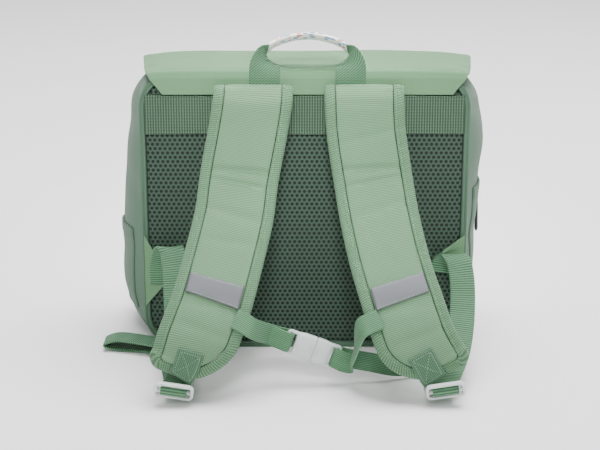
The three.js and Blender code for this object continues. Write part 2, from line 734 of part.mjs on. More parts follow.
// Flat outline of one half of the buckle, from its mouth to its webbing bar
function buckleOutline(mouth) {
  const half = buckleWidth / 2;
  const end = buckleLength / 2;
  const shape = new THREE.Shape();
  shape.moveTo(mouth, -half);
  shape.lineTo(end * 0.5, -half);
  shape.lineTo(end * 0.62, -half * 0.92);
  shape.lineTo(end * 0.94, -half * 0.96);
  shape.lineTo(end, -half * 0.8);
  shape.lineTo(end, half * 0.8);
  shape.lineTo(end * 0.94, half * 0.96);
  shape.lineTo(end * 0.62, half * 0.92);
  shape.lineTo(end * 0.5, half);
  shape.lineTo(mouth, half);
  shape.closePath();
  const slot = chestWebbing / 2 + 0.8;
  const near = end - buckleBar - buckleSlot;
  const hole = new THREE.Path();
  hole.moveTo(near, -slot);
  hole.lineTo((end - buckleBar), -slot);
  hole.lineTo((end - buckleBar), slot);
  hole.lineTo(near, slot);
  hole.closePath();
  shape.holes.push(hole);
  return shape;
}

function flatPlate(shape, thickness) {
  const options = { depth: thickness, bevelEnabled: false, curveSegments: 3 };
  const geometry = new THREE.ExtrudeGeometry(shape, options);
  return geometry.translate(0, 0, -thickness / 2);
}

const tongueLength = 11;
const tongueWidth = 17;
const tongueThickness = 3.6;

function makeSocket() {
  const plate = toSolid(flatPlate(buckleOutline(-2), buckleThickness).rotateZ(Math.PI));
  const pocket = boxBetween(
    [2 - tongueLength - 1, -tongueWidth / 2 - gap, -tongueThickness / 2 - gap],
    [3, tongueWidth / 2 + gap, tongueThickness / 2 + gap],
  );
  return fromSolid(plate.subtract(toSolid(pocket))).applyMatrix4(buckleMatrix());
}

function makePlug() {
  const plate = toSolid(flatPlate(buckleOutline(2 + gap), buckleThickness));
  const tongue = boxBetween(
    [2 - tongueLength, -tongueWidth / 2, -tongueThickness / 2],
    [4, tongueWidth / 2, tongueThickness / 2],
  );
  return fromSolid(plate.add(toSolid(tongue))).applyMatrix4(buckleMatrix());
}

const chestPlace = 0.79; // share of a strap's length where the chest webbing is sewn on

function makeChestStrap(side) {
  const strap = straps[side];
  const along = strap.length * chestPlace;
  const { tangent } = strapFrame(strap, along);
  const front = bindingThickness / 2 + 1.5 * gap + webbingThickness / 2;
  const edge = -strap.sign * (strapWidth / 2);
  const down = onBuckle(0, 1, 0).sub(buckleMiddle).toArray();
  const over = buckleThickness / 2 + 2 * gap + webbingThickness / 2;
  const bar = buckleLength / 2 - buckleBar / 2;
  const slot = buckleLength / 2 - buckleBar - buckleSlot / 2;
  const sign = strap.sign;
  const local = (x, y, z) => ({ point: onBuckle(sign * x, y, z).toArray(), across: down });
  const sewn = (down, inward, out) => ({
    point: onStrap(strap, along + down, edge + strap.sign * inward, out).toArray(),
    across: tangent.toArray(),
  });
  const stations = [sewn(0, bindingWidth + 2, front), sewn(1, 4, front), sewn(3, -6, front - 2)];
  const leaf = webbingThickness * 0.8;
  if (side === 'left') {
    stations.push(
      local(bar + 14, 0, leaf), local(bar + 3, 0, over - 1), local(bar - 1, 0, over),
      local(slot + 0.8, 0, over - 1.6), local(slot, 0, 0), local(slot + 0.8, 0, 1.6 - over),
      local(bar - 1, 0, -over), local(bar + 4, 0, 1 - over),
      local(bar + 16, 0, -leaf - 0.4), local(bar + 24, 0, -leaf - 0.8),
    );
  } else {
    const low = chestWebbing / 2 + 1.2;
    stations.push(
      local(bar + 12, 0, -over), local(bar - 1, 0, -over), local(slot + 0.8, 0, 1.6 - over),
      local(slot, 0, 0),
      local(slot + 0.8, 0, over - 1.6), local(bar, 0, over), local(bar + 9, 0, over + 1),
      { point: [64, buckleMiddle.y + 9, low + 9], across: [-0.2, 0, -1] },
      { point: [88, buckleMiddle.y + 12, low + 3], across: [-0.15, 0, -1] },
      { point: [108, buckleMiddle.y + 18, low + 0.5], across: [-0.05, 0, -1] },
    );
  }
  return ribbon(stations, chestWebbing, webbingThickness, 52);
}

const handleSteps = 56; // pieces that its route is divided into
const sleeveStart = 17; // the first of them inside the sleeve

// Route of the carrying handle: the webbing turns edge on as it rises, then bends flat over the grip
function handleFrames(first, last) {
  const seat = flapY - flapThickness / 2 - 2 * gap - webbingThickness / 2;
  const half = handleSpread / 2;
  const rows = [
    { x: half, y: 0, z: flapSeamHeight + 3, turn: 0 }, { x: half, y: -0.5, z: handleHeight - 36, turn: 0 },
    { x: half, y: 0, z: handleHeight - 28, turn: 10 }, { x: half, y: 4, z: handleHeight - 20.5, turn: 50 },
    { x: half * 0.97, y: 9, z: handleHeight - 14, turn: 85 },
    { x: half * 0.8, y: 12.5, z: handleHeight - 8, turn: 90 },
    { x: half * 0.42, y: 14.5, z: handleHeight - 2.2, turn: 90 }, { x: 0, y: 15, z: handleHeight, turn: 90 },
  ];
  const station = (row, side) => {
    const turn = THREE.MathUtils.degToRad(row.turn);
    return {
      point: new THREE.Vector3(harnessShift + handleShift + side * row.x, seat + row.y, row.z),
      across: new THREE.Vector3(
        -side * Math.cos(turn),
        Math.sin(turn) * Math.cos(handleLean),
        -Math.sin(turn) * Math.sin(handleLean),
      ),
    };
  };
  const stations = rows.map((row) => station(row, -1));
  stations.push(...rows.slice(0, -1).reverse().map((row) => station(row, 1)));
  const route = smoothCurve(stations.map((s) => s.point));
  const turns = smoothCurve(stations.map((s) => s.across));
  const frames = [];
  for (let i = first; i <= last; i += 1) {
    const share = i / handleSteps;
    const tangent = route.getTangent(share);
    const across = turns.getPoint(share);
    across.addScaledVector(tangent, -across.dot(tangent)).normalize();
    const out = new THREE.Vector3().crossVectors(tangent, across);
    frames.push({ point: route.getPoint(share), across, out });
  }
  return frames;
}

function flatProfile(width, thickness) {
  const half = width / 2;
  const thick = thickness / 2;
  return [[-half, -thick], [half, -thick], [half, thick], [-half, thick]];
}

function makeHandleWebbing() {
  return sweep(handleFrames(0, handleSteps), () => flatProfile(handleWebbing, webbingThickness));
}

// Sleeve round the handle's webbing
function makeSleeve() {
  const profile = [];
  for (let i = 0; i < 14; i += 1) {
    const angle = (i / 14) * Math.PI * 2;
    const across = Math.sign(Math.cos(angle)) * Math.abs(Math.cos(angle)) ** 0.7;
    profile.push([(across * sleeveWidth) / 2, (Math.sin(angle) * sleeveThickness) / 2]);
  }
  const outer = sweep(handleFrames(sleeveStart, handleSteps - sleeveStart), () => profile);
  const inside = flatProfile(handleWebbing + 2 * gap, webbingThickness + 2 * gap);
  const inner = sweep(handleFrames(sleeveStart - 1, handleSteps - sleeveStart + 1), () => inside);
  return fromSolid(toSolid(outer).subtract(toSolid(inner)));
}

// Point on a side of the shell: a row of its swelling table and one of six equal heights on its straight part
function sidePoint(which, row, level, offset) {
  const back = typeof row === 'number' ? row : row.back;
  const top = bagHeight - frontDrop * back;
  const z = cornerRadius + ((top - 2 * cornerRadius) * level) / 5;
  const x = sideReach(which, z / bagHeight, back) + offset;
  return new THREE.Vector3(which * x, shellBackY + shellDepth * back, z);
}

// Thin sheet laid over a side between two depths and two levels
function makeSideSheet(which, places, levels, offset, thickness) {
  const grid = (out) => places.map((place) => levels.map((level) => sidePoint(which, place, level, out)));
  return sheet(grid(offset), grid(offset + thickness));
}

function makeZipTape() {
  const half = zipWidth / 2 / shellDepth;
  const span = (zipLength / (bagHeight - 2 * cornerRadius)) * 5;
  const levels = [zipStart];
  for (let level = Math.ceil(zipStart); level < zipStart + span; level += 1) levels.push(level);
  levels.push(zipStart + span);
  return makeSideSheet(1, [zipPlace - half, zipPlace + half], levels, zipGap, zipThickness);
}

// Slider and hanging pull on the zip
function makeSlider(level) {
  const seat = sidePoint(1, zipPlace, level, zipGap + zipThickness + gap);
  return boxBetween([seat.x + 0.7, seat.y - 4.5, seat.z - 6], [seat.x + 4.7, seat.y + 4.5, seat.z + 6]);
}

function makePull(level) {
  const seat = sidePoint(1, zipPlace, level, zipGap + zipThickness + gap);
  const rows = [
    { down: 0, wide: 0.35 }, { down: 0.14, wide: 0.42 }, { down: 0.2, wide: 0.3 }, { down: 0.3, wide: 0.5 },
    { down: 0.75, wide: 0.72 }, { down: 0.92, wide: 0.85 }, { down: 1, wide: 0.45 },
  ];
  return loft(rows.map((row) => {
    const ring = [];
    for (let i = 0; i < 8; i += 1) {
      const angle = (i / 8) * Math.PI * 2;
      const reach = (pullWidth / 2) * row.wide;
      ring.push(new THREE.Vector3(
        seat.x + 3.4 + reach * Math.cos(angle) * 0.7,
        seat.y + reach * Math.sin(angle) * 1.3,
        seat.z - 6 - gap - pullLength * row.down,
      ));
    }
    return ring;
  }));
}

// Plain clasp that holds the flap's lower edge to the front
function makeClasp(x) {
  const front = backY + bagDepth + gap;
  const flapFace = front + flapStand + flapThickness + gap;
  const edge = bagHeight + flapLift + flapThickness / 2 - frontDrop - flapFrontLength;
  const shape = new THREE.Shape();
  shape.moveTo(front, edge - claspHeight * 0.6);
  shape.lineTo(front, edge - gap - 1);
  shape.lineTo(flapFace, edge - gap - 1);
  shape.lineTo(flapFace, edge + claspHeight * 0.4);
  shape.lineTo(flapFace + claspThickness, edge + claspHeight * 0.4);
  shape.lineTo(flapFace + claspThickness, edge - claspHeight * 0.6);
  shape.closePath();
  const geometry = new THREE.ExtrudeGeometry(shape, { depth: claspWidth, bevelEnabled: false });
  geometry.rotateX(Math.PI / 2).rotateZ(Math.PI / 2);
  return geometry.translate(x + claspWidth / 2, 0, 0);
}

// The pieces
addPiece('body_shell', makeShell(), colours.shell);
addPiece('back_panel', makeBackPanel(), colours.panel, 0.95);
addPiece('back_piping', makePiping(), colours.piping);
addPiece('flap', makeFlap(), colours.flap);
addPiece('top_band', makeBand(), colours.band);
addPiece('handle_webbing', makeHandleWebbing(), colours.webbing);
addPiece('handle_sleeve', makeSleeve(), colours.sleeve);
for (const side of ['left', 'right']) {
  const strap = straps[side];
  const tilt = -strap.sign * strapWidth * 0.06;
  addPiece(`strap_${side}`, makeStrap(strap), colours.strap);
  addPiece(`strap_binding_${side}`, makeBinding(strap), colours.binding);
  const stripAlong = strap.length * stripPlace;
  const stripHalf = coreHalf - 0.5;
  const strip = makePatch(strap, stripAlong, stripHalf * 2, stripWidth, tilt, 0);
  addPiece(`reflective_strip_${side}`, strip, colours.strip, 0.45);
  const tabAlong = strap.length - tabLength;
  addPiece(`lower_tab_${side}`, makePatch(strap, tabAlong, webbing, tabLength, 0, tabShift), colours.tab);
  addPiece(`ladder_lock_${side}`, makeLock(strap), colours.lock, 0.35);
  addPiece(`wing_${side}`, makeWing(side), colours.strap);
  addPiece(`adjuster_webbing_${side}`, makeAdjuster(side), colours.webbing);
  addPiece(`chest_strap_${side}`, makeChestStrap(side), colours.webbing);
}
addPiece('buckle_socket', makeSocket(), colours.lock, 0.35);
addPiece('buckle_plug', makePlug(), colours.lock, 0.35);
const pocketPlaces = swellTable.slice(1, 4).map((row) => row.back);
for (const [side, which, levels] of [['left', -1, [0, 1, 2]], ['right', 1, [3, 2, 1, 0]]]) {
  const pocket = makeSideSheet(which, pocketPlaces, levels, pocketGap, pocketThickness);
  addPiece(`side_pocket_${side}`, pocket, colours.pocket);
}
addPiece('zip_tape', makeZipTape(), colours.dark);
addPiece('zip_slider', makeSlider(zipRest), colours.dark, 0.5);
addPiece('zip_pull', makePull(zipRest), colours.dark, 0.7);
addPiece('flap_clasp_left', makeClasp(harnessShift - claspSpacing / 2), colours.lock, 0.35);
addPiece('flap_clasp_right', makeClasp(harnessShift + claspSpacing / 2), colours.lock, 0.35);

export default group;
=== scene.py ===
import math
import bmesh
import bpy
import numpy as np
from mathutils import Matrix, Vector


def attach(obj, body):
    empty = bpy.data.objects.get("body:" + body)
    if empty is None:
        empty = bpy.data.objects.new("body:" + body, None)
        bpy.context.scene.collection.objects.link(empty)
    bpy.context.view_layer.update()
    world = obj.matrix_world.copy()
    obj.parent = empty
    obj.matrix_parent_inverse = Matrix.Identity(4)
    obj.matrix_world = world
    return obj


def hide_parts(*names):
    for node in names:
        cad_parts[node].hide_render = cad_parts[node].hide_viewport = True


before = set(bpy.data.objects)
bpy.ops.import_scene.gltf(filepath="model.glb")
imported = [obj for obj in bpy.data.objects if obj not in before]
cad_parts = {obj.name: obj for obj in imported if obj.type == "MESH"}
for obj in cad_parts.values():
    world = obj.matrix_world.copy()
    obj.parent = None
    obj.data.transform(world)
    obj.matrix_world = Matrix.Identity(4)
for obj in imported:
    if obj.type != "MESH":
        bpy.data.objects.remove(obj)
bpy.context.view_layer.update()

# School satchel seen from its harness side. Sizes in the dictionaries are millimetres, meshes are in metres.
mm = 0.001


def addObject(name, data):
    obj = bpy.data.objects.new(name, data)
    bpy.context.collection.objects.link(obj)
    return obj


# Camera at the photograph's angle, aimed a little below the middle of the bag; scale is millimetres a pixel
camera = {"aim": (-4.5, -70.0, 133.5), "distance": 1500.0, "tilt": 17.0, "scale": 1.02, "sensor": 36.0,
          "pixels": 600}


def addCamera(c):
    data = bpy.data.cameras.new("camera")
    data.sensor_width = c["sensor"]
    data.lens = c["sensor"] * c["distance"] / (c["scale"] * c["pixels"])
    tilt = math.radians(c["tilt"])
    obj = addObject("camera", data)
    obj.location = (Vector(c["aim"]) + Vector((0, -math.cos(tilt), math.sin(tilt))) * c["distance"]) * mm
    obj.rotation_euler = (math.pi / 2 - tilt, 0, 0)
    bpy.context.scene.camera = obj


addCamera(camera)
print("camera placed")

# Curves and surfaces

stepsPerBend = 40


def runAlong(line):
    # Length run at each point of a line
    return np.concatenate([[0], np.cumsum(np.linalg.norm(np.diff(line, axis=0), axis=1))])


def readAt(columns, run, at):
    # Columns known at the places in run, read straight between them at other places
    return np.stack([np.interp(at, run, column) for column in np.asarray(columns, float).T], axis=-1)


def spread(*parts):
    # Coordinates of different shapes, broadcast and put together as points
    return np.stack(np.broadcast_arrays(*parts), axis=-1)


def smoothCurve(points, steps=stepsPerBend):
    # Centripetal Catmull-Rom through the points, then a table of place against length run
    p = np.asarray(points, float)
    p = np.vstack([2 * p[0] - p[1], p, 2 * p[-1] - p[-2]])
    knots = np.concatenate([[0], np.cumsum(np.linalg.norm(np.diff(p[:, :3], axis=0), axis=1) ** 0.5)])
    pieces = []
    for i in range(1, len(p) - 2):
        t0, t1, t2, t3 = knots[i - 1:i + 3]
        t = np.linspace(t1, t2, steps, endpoint=False)[:, None]
        a1 = ((t1 - t) * p[i - 1] + (t - t0) * p[i]) / (t1 - t0)
        a2 = ((t2 - t) * p[i] + (t - t1) * p[i + 1]) / (t2 - t1)
        a3 = ((t3 - t) * p[i + 1] + (t - t2) * p[i + 2]) / (t3 - t2)
        b1 = ((t2 - t) * a1 + (t - t0) * a2) / (t2 - t0)
        b2 = ((t3 - t) * a2 + (t - t1) * a3) / (t3 - t1)
        pieces.append(((t2 - t) * b1 + (t - t1) * b2) / (t2 - t1))
    table = np.vstack(pieces + [p[-2:-1]])
    run = runAlong(table[:, :3])
    return {"table": table, "run": run, "length": run[-1]}


def curveTangent(curve, along, reach=1.5):
    # Direction between the places a little before and a little after
    before = np.clip(np.asarray(along, float) - reach, 0, curve["length"])
    after = np.clip(np.asarray(along, float) + reach, 0, curve["length"])
    step = readAt(curve["table"], curve["run"], after) - readAt(curve["table"], curve["run"], before)
    return step / np.linalg.norm(step[..., :3], axis=-1, keepdims=True)


def curveAt(curve, along):
    # Place at each length run, going straight on past the ends
    along = np.asarray(along, float)
    inside = np.clip(along, 0, curve["length"])
    place = readAt(curve["table"], curve["run"], inside)
    return place + (along - inside)[..., None] * curveTangent(curve, inside)


def unit(v):
    return v / np.maximum(np.linalg.norm(v, axis=-1, keepdims=True), 1e-9)


def smooth(low, high, x):
    # Smooth step from 0 at low to 1 at high
    t = np.clip((np.asarray(x, float) - low) / (high - low), 0, 1)
    return t * t * (3 - 2 * t)


def bump(x, middle, width):
    # Bell of height 1
    return np.exp(-((np.asarray(x, float) - middle) / width) ** 2)


def squared(wave, power):
    # A sine or cosine pushed out towards 1, which squares an oval a little
    return np.sign(wave) * np.abs(wave) ** power


def ripple(x, y, scale, seed):
    # Soft cloth unevenness: five sine waves of growing pitch, each turned and shifted by the seed
    rng = np.random.default_rng(seed)
    total = np.zeros(np.broadcast(x, y).shape)
    for i in range(5):
        turn, shift = rng.uniform(0, 2 * math.pi, 2)
        pitch = scale * (0.45 + 0.35 * i)
        total += np.sin((np.cos(turn) * x + np.sin(turn) * y) * 2 * math.pi / pitch + shift) * (0.5 + 0.15 * i)
    return total / 3.5


def gridFaces(rows, columns, wrapRows=False, wrapColumns=False):
    # Quads of a grid, whose last row or column may meet the first
    i = np.arange(rows if wrapRows else rows - 1)[:, None]
    j = np.arange(columns if wrapColumns else columns - 1)[None, :]
    a = i * columns + j
    b = i * columns + (j + 1) % columns
    c = ((i + 1) % rows) * columns + (j + 1) % columns
    d = ((i + 1) % rows) * columns + j
    return np.stack([a, b, c, d], axis=-1).reshape(-1, 4)


def closedGrid(grid, loop=False, hubs=None):
    # Rings of points joined into a closed body, a fan of triangles round a hub closing each end unless they loop
    rows, columns = grid.shape[:2]
    points = grid.reshape(-1, 3)
    quads = gridFaces(rows, columns, wrapRows=loop, wrapColumns=True)
    if loop:
        return points, [quads]
    hubs = np.stack([grid[0].mean(axis=0), grid[-1].mean(axis=0)]) if hubs is None else hubs
    j = np.arange(columns)
    last = (rows - 1) * columns
    fans = [np.stack([(j + 1) % columns, j, np.full(columns, len(points))], axis=-1),
            np.stack([last + j, last + (j + 1) % columns, np.full(columns, len(points) + 1)], axis=-1)]
    return np.vstack([points, hubs]), [quads] + fans


def closedSweep(point, across, out, profileAcross, profileOut, loop=False):
    # Profile carried along a path: point + across * a + out * b
    out = np.broadcast_to(out, point.shape)
    grid = point[:, None] + across[:, None] * profileAcross[..., None] + out[:, None] * profileOut[..., None]
    return closedGrid(grid, loop)


def closedSlab(outer, inner):
    # Outer and inner grids of a sheet: each row and its inner row make a ring, strips of quads close both ends
    section = np.concatenate([outer, inner[:, ::-1]], axis=1)
    rows, ring = section.shape[:2]
    j = np.arange(ring // 2 - 1)
    ends = [np.stack([s + j, s + j + 1, s + ring - 2 - j, s + ring - 1 - j], axis=-1)
            for s in (0, (rows - 1) * ring)]
    return section, [gridFaces(rows, ring, wrapColumns=True)] + ends


def joinParts(parts):
    # Several closed meshes as one
    points, faces, start = [], [], 0
    for p, f in parts:
        points.append(p)
        faces += [face + start for face in f]
        start += len(p)
    return np.vstack(points), faces


def makeMesh(name, points, faces, uv=None):
    # Mesh from arrays, in millimetres; uv gives each point's place on the flat cloth, also in millimetres.
    # The hubs of closed ends, which come last, take the first and the last of those places
    name = name + "_dressed" if name in bpy.data.objects else name
    mesh = bpy.data.meshes.new(name)
    points = np.asarray(points, float).reshape(-1, 3)
    counts = np.concatenate([np.full(len(f), f.shape[1]) for f in faces])
    loops = np.concatenate([f.ravel() for f in faces])
    mesh.vertices.add(len(points))
    mesh.vertices.foreach_set("co", (points * mm).ravel())
    mesh.loops.add(len(loops))
    mesh.loops.foreach_set("vertex_index", loops.astype(np.int32))
    mesh.polygons.add(len(counts))
    mesh.polygons.foreach_set("loop_start", np.concatenate([[0], np.cumsum(counts)[:-1]]).astype(np.int32))
    mesh.update(calc_edges=True)
    mesh.polygons.foreach_set("use_smooth", np.ones(len(counts), bool))
    if uv is not None:
        uv = np.asarray(uv, float).reshape(-1, 2)
        uv = np.vstack([uv, uv[:1], uv[-1:]]) if len(uv) < len(points) else uv
        mesh.uv_layers.new(name="cloth").data.foreach_set("uv", (uv[loops] * mm).ravel())
    mesh.validate()
    return addObject(name, mesh)


def addPiece(name, points, faces, uv, material, nodes=()):
    # Finished piece: faces turned outwards, then its material, its body and the solids it stands for
    obj = makeMesh(name, points, faces, uv)
    work = bmesh.new()
    work.from_mesh(obj.data)
    bmesh.ops.recalc_face_normals(work, faces=work.faces)
    work.to_mesh(obj.data)
    work.free()
    obj.data.materials.append(material)
    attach(obj, "root")
    if nodes:
        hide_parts(*nodes)
    return obj


# Materials


def linear(hexColour):
    # sRGB hex to linear, one channel at a time
    channels = [int(hexColour[i:i + 2], 16) / 255 for i in (1, 3, 5)]
    return [c / 12.92 if c <= 0.04045 else ((c + 0.055) / 1.055) ** 2.4 for c in channels] + [1.0]


def addNode(tree, kind, inputs=None, **settings):
    # Adds a node and its settings; each input is linked to a socket or set to a value
    node = tree.nodes.new(kind)
    for key, value in settings.items():
        setattr(node, key, value)
    for key, source in (inputs or {}).items():
        if isinstance(source, bpy.types.NodeSocket):
            tree.links.new(source, node.inputs[key])
        else:
            node.inputs[key].default_value = source
    return node


def newMaterial(name, values):
    # Values are the shader's own; 1.5 is the usual IOR of yarns and plastics
    material = bpy.data.materials.new(name)
    material.use_nodes = True
    shader = material.node_tree.nodes["Principled BSDF"]
    for key, value in {"IOR": 1.5, **values}.items():
        shader.inputs[key].default_value = value
    return material, material.node_tree, shader


def clothMaterial(name, colour, shade, weave, relief, roughness=0.85, slub=0.5, diagonal=0.0, ribs=0.0):
    # Woven yarn: two crossed sine waves, weave mm apart, give warp and weft; noise gives slubs and uneven dye.
    # Ribs is how far the weft's gaps are filled, so that the warp's lines stand out; diagonal turns the weave
    values = {"Roughness": roughness, "Sheen Weight": 0.08, "Sheen Roughness": 0.5}
    material, tree, shader = newMaterial(name, values)
    cloth = addNode(tree, "ShaderNodeUVMap", uv_map="cloth").outputs[0]
    turned = addNode(tree, "ShaderNodeMapping", {"Vector": cloth, "Rotation": (0, 0, diagonal)}).outputs[0]
    # A wave texture of scale 1 repeats every 2 pi / 20, and the weft is set a little wider than the warp
    scale = 2 * math.pi / (20 * weave * mm)
    warp, weft = [addNode(tree, "ShaderNodeTexWave", {"Vector": turned, "Scale": scale * share, "Distortion": 0.4,
                                                      "Detail": 1.0, "Detail Scale": 2.0},
                          bands_direction=axis).outputs["Fac"] for axis, share in (("X", 1.0), ("Y", 0.86))]
    filled = addNode(tree, "ShaderNodeMapRange", {"Value": weft, "To Min": ribs, "To Max": 1.0}).outputs[0]
    yarn = addNode(tree, "ShaderNodeMath", {0: warp, 1: filled}, operation="MULTIPLY").outputs[0]
    # Slubs are streaks about 4 mm long and 1 mm thick
    slubs = addNode(tree, "ShaderNodeMapping", {"Vector": cloth, "Scale": (260, 1100, 1)})
    streak, dye = [addNode(tree, "ShaderNodeTexNoise", inputs).outputs["Fac"]
                   for inputs in ({"Vector": slubs.outputs[0], "Scale": 1.0, "Detail": 2.0},
                                  {"Vector": cloth, "Scale": 34.0, "Detail": 3.0})]
    uneven = addNode(tree, "ShaderNodeMath", {0: streak, 1: dye}, operation="ADD").outputs[0]
    uneven = addNode(tree, "ShaderNodeMath", {0: uneven, 1: slub}, operation="MULTIPLY").outputs[0]
    tone = addNode(tree, "ShaderNodeMath", {0: uneven, 1: yarn, 2: yarn}, operation="MULTIPLY_ADD").outputs[0]
    ramp = addNode(tree, "ShaderNodeValToRGB", {"Fac": tone})
    for stop, place, tint in zip(ramp.color_ramp.elements, (0.25, 0.62), (shade, colour)):
        stop.position = place * (1 + slub)
        stop.color = linear(tint)
    tree.links.new(ramp.outputs["Color"], shader.inputs["Base Color"])
    height = addNode(tree, "ShaderNodeMath", {0: yarn, 1: streak}, operation="ADD").outputs[0]
    surface = addNode(tree, "ShaderNodeBump", {"Height": height, "Distance": relief * mm, "Strength": 0.7})
    tree.links.new(surface.outputs["Normal"], shader.inputs["Normal"])
    return material


# Real yarns are 0.3 to 0.5 mm apart, too fine to show, so each weave is drawn coarser.
# Polyester canvas of the flap and the wings: matt, with a fine slubbed weave
canvas = clothMaterial("woven polyester canvas", "#679069", "#587f5b", 1.1, 0.12)
# The same canvas on the gusset, piping and side pockets, darker and a little greyer: painted shade of the bag's
# sides
shadedGussetCanvas = clothMaterial("woven polyester canvas in painted shade", "#4e6f57", "#415e4a", 1.1, 0.12)
# Twill face of the straps: matt, with fine lines across the strap
strapCloth = clothMaterial("strap twill", "#6a906c", "#4f7253", 1.7, 0.2, slub=0.4, ribs=0.65)
# Herringbone tape folded round the edges: slanting ribs
bindingTape = clothMaterial("herringbone binding tape", "#5f8763", "#426447", 2.1, 0.4, diagonal=0.25, ribs=0.6)
# Polyester webbing of the chest strap: dense, slightly glossy, its ribs along it
webbingCloth = clothMaterial("polyester webbing", "#558761", "#37603f", 1.8, 0.2, roughness=0.7, ribs=0.7)
# Heavier webbing of the adjusters: the weave turned, so that dark lines cross it between its ribs
ribbedWebbing = clothMaterial("ribbed webbing", "#558761", "#2d5236", 2.4, 0.35, roughness=0.7, diagonal=1.571,
                              ribs=0.8)
# Webbing of the handle: a twill whose lines run at a slant
handleCloth = clothMaterial("twilled webbing", "#55835f", "#33573c", 2.0, 0.35, roughness=0.7, diagonal=0.9,
                            ribs=0.8)
# Webbing of the patches that hold the locks, darker than the other webbing
tabCloth = clothMaterial("patch webbing", "#4a7355", "#30513a", 1.8, 0.2, roughness=0.7, ribs=0.7)
# Wide webbing across the back: dark between its upright ribs
bandCloth = clothMaterial("wide polyester webbing", "#48674d", "#233929", 2.6, 0.3, roughness=0.7, ribs=0.45)
# Polyester sewing thread, a little paler than the cloth
thread = newMaterial("polyester thread", {"Roughness": 0.6, "Base Color": linear("#7c9c7f")})[0]
# Grey reflective tape: glass beads give a satin face
reflective = newMaterial("reflective tape", {"Roughness": 0.42, "Metallic": 0.25,
                                             "Base Color": linear("#5c5f63")})[0]
# Moulded acetal: milky and fairly glossy, lets some light in
acetal = newMaterial("moulded acetal", {"Roughness": 0.28, "IOR": 1.48, "Transmission Weight": 0.45,
                                        "Base Color": linear("#f6fbfa")})[0]
# Moulded charcoal nylon of the zip: half matt
nylon = newMaterial("moulded nylon", {"Roughness": 0.5, "Base Color": linear("#26272b")})[0]
# Woven polyester tape of the zip: charcoal, matt, nearly flat
zipCloth = clothMaterial("zip tape", "#2b2c31", "#1f2024", 1.2, 0.1)
print("materials made")

# Straps

harness = {
    "shift": 4.0, "spacing": 109.0, "splay": 66.0, "reach": 142.0, "top": 282.0, "back": -70.0,
    "width": 78.0, "thickness": 10.0, "seam": 3.0, "crown": 1.05,
    "binding": 10.5, "bindingThickness": 8.4, "bindingGap": 0.7,
    "tipOuter": 14.0, "tipInner": 46.0, "tipSkew": 0.23, "tipRun": 60.0,
    "rows": 190, "tipRows": 40, "columns": 44, "bindingRows": 170, "turnRows": 30,
}
# Centre lines as shares of splay, reach and top, one row for each bend
strapRoutes = {
    "left": [(0, 0.029, 0.93), (0, 0.062, 0.962), (0, 0.105, 0.992), (0, 0.162, 0.962), (0.076, 0.169, 0.846),
             (0.212, 0.225, 0.68), (0.282, 0.352, 0.564), (0.43, 0.563, 0.434), (0.585, 0.789, 0.318),
             (0.77, 0.937, 0.213), (0.89, 0.995, 0.131), (1, 1, 0.09)],
    "right": [(0, 0.029, 0.93), (0, 0.062, 0.962), (0, 0.105, 0.992), (0, 0.162, 0.962), (0.027, 0.169, 0.846),
              (0.136, 0.225, 0.68), (0.223, 0.352, 0.564), (0.361, 0.563, 0.434), (0.536, 0.789, 0.318),
              (0.718, 0.937, 0.206), (0.9, 0.995, 0.131), (1.02, 1, 0.092)],
}
# Soft creases of the padding: share of the length, depth, width along the strap, lean across it
creases = {
    "left": [(0.10, 0.9, 3.5, 0.06), (0.33, 2.8, 3.6, 0.12), (0.37, 2.0, 3.0, -0.06), (0.47, 1.8, 6.0, -0.14),
             (0.56, 1.0, 5.0, 0.1), (0.77, 1.2, 7.0, 0.08), (0.85, 0.8, 5.0, -0.05)],
    "right": [(0.12, 0.8, 4.0, -0.05), (0.22, 1.0, 4.0, 0.12), (0.32, 2.6, 3.6, -0.12), (0.36, 1.9, 3.0, 0.05),
              (0.45, 1.4, 6.0, 0.16), (0.77, 1.1, 7.0, -0.1), (0.87, 0.8, 5.0, 0.05)],
}
bindingMargin = harness["binding"] + harness["bindingGap"]
coreHalf = harness["width"] / 2 - bindingMargin


def strapPath(side):
    h = harness
    sign = -1 if side == "left" else 1
    rows = np.array(strapRoutes[side])
    curve = smoothCurve(spread(h["shift"] + sign * (h["spacing"] / 2 + h["splay"] * rows[:, 0]),
                               h["back"] - h["reach"] * rows[:, 1], h["top"] * rows[:, 2]))
    return {"side": side, "sign": sign, "curve": curve, "length": curve["length"]}


straps = {side: strapPath(side) for side in ("left", "right")}


def strapFrame(strap, along):
    # Middle of the strap, then the directions along it, across it and out of its outer face
    tangent = curveTangent(strap["curve"], along)
    sideways = unit(np.array([1.0, 0, 0]) - tangent * tangent[..., :1])
    return curveAt(strap["curve"], along), tangent, sideways, np.cross(tangent, sideways)


def onStrap(strap, along, across, out):
    # Place on a strap: along its middle, across it, and out from its middle plane
    along, across, out = np.broadcast_arrays(along, across, out)
    point, _, sideways, outwards = strapFrame(strap, along)
    return point + sideways * across[..., None] + outwards * out[..., None]


def tipSlant(strap, along, across):
    # The tip is cut at a slant: further down at its outer side
    h = harness
    return across * strap["sign"] * h["tipSkew"] * smooth(strap["length"] - h["tipRun"], strap["length"], along)


def strapThickness(along, full):
    return harness["seam"] + (full - harness["seam"]) * smooth(8, 44, along)


def tipRadius(strap, side, margin):
    return (harness["tipOuter"] if side == strap["sign"] else harness["tipInner"]) - margin


def coreReach(strap, along, side):
    # Half width of the padding to one side, with the tip's corner rounded off
    radius = tipRadius(strap, side, bindingMargin)
    left = np.clip(strap["length"] - bindingMargin - along, 0, radius)
    return coreHalf - radius + np.sqrt(np.maximum(0, radius ** 2 - (radius - left) ** 2))


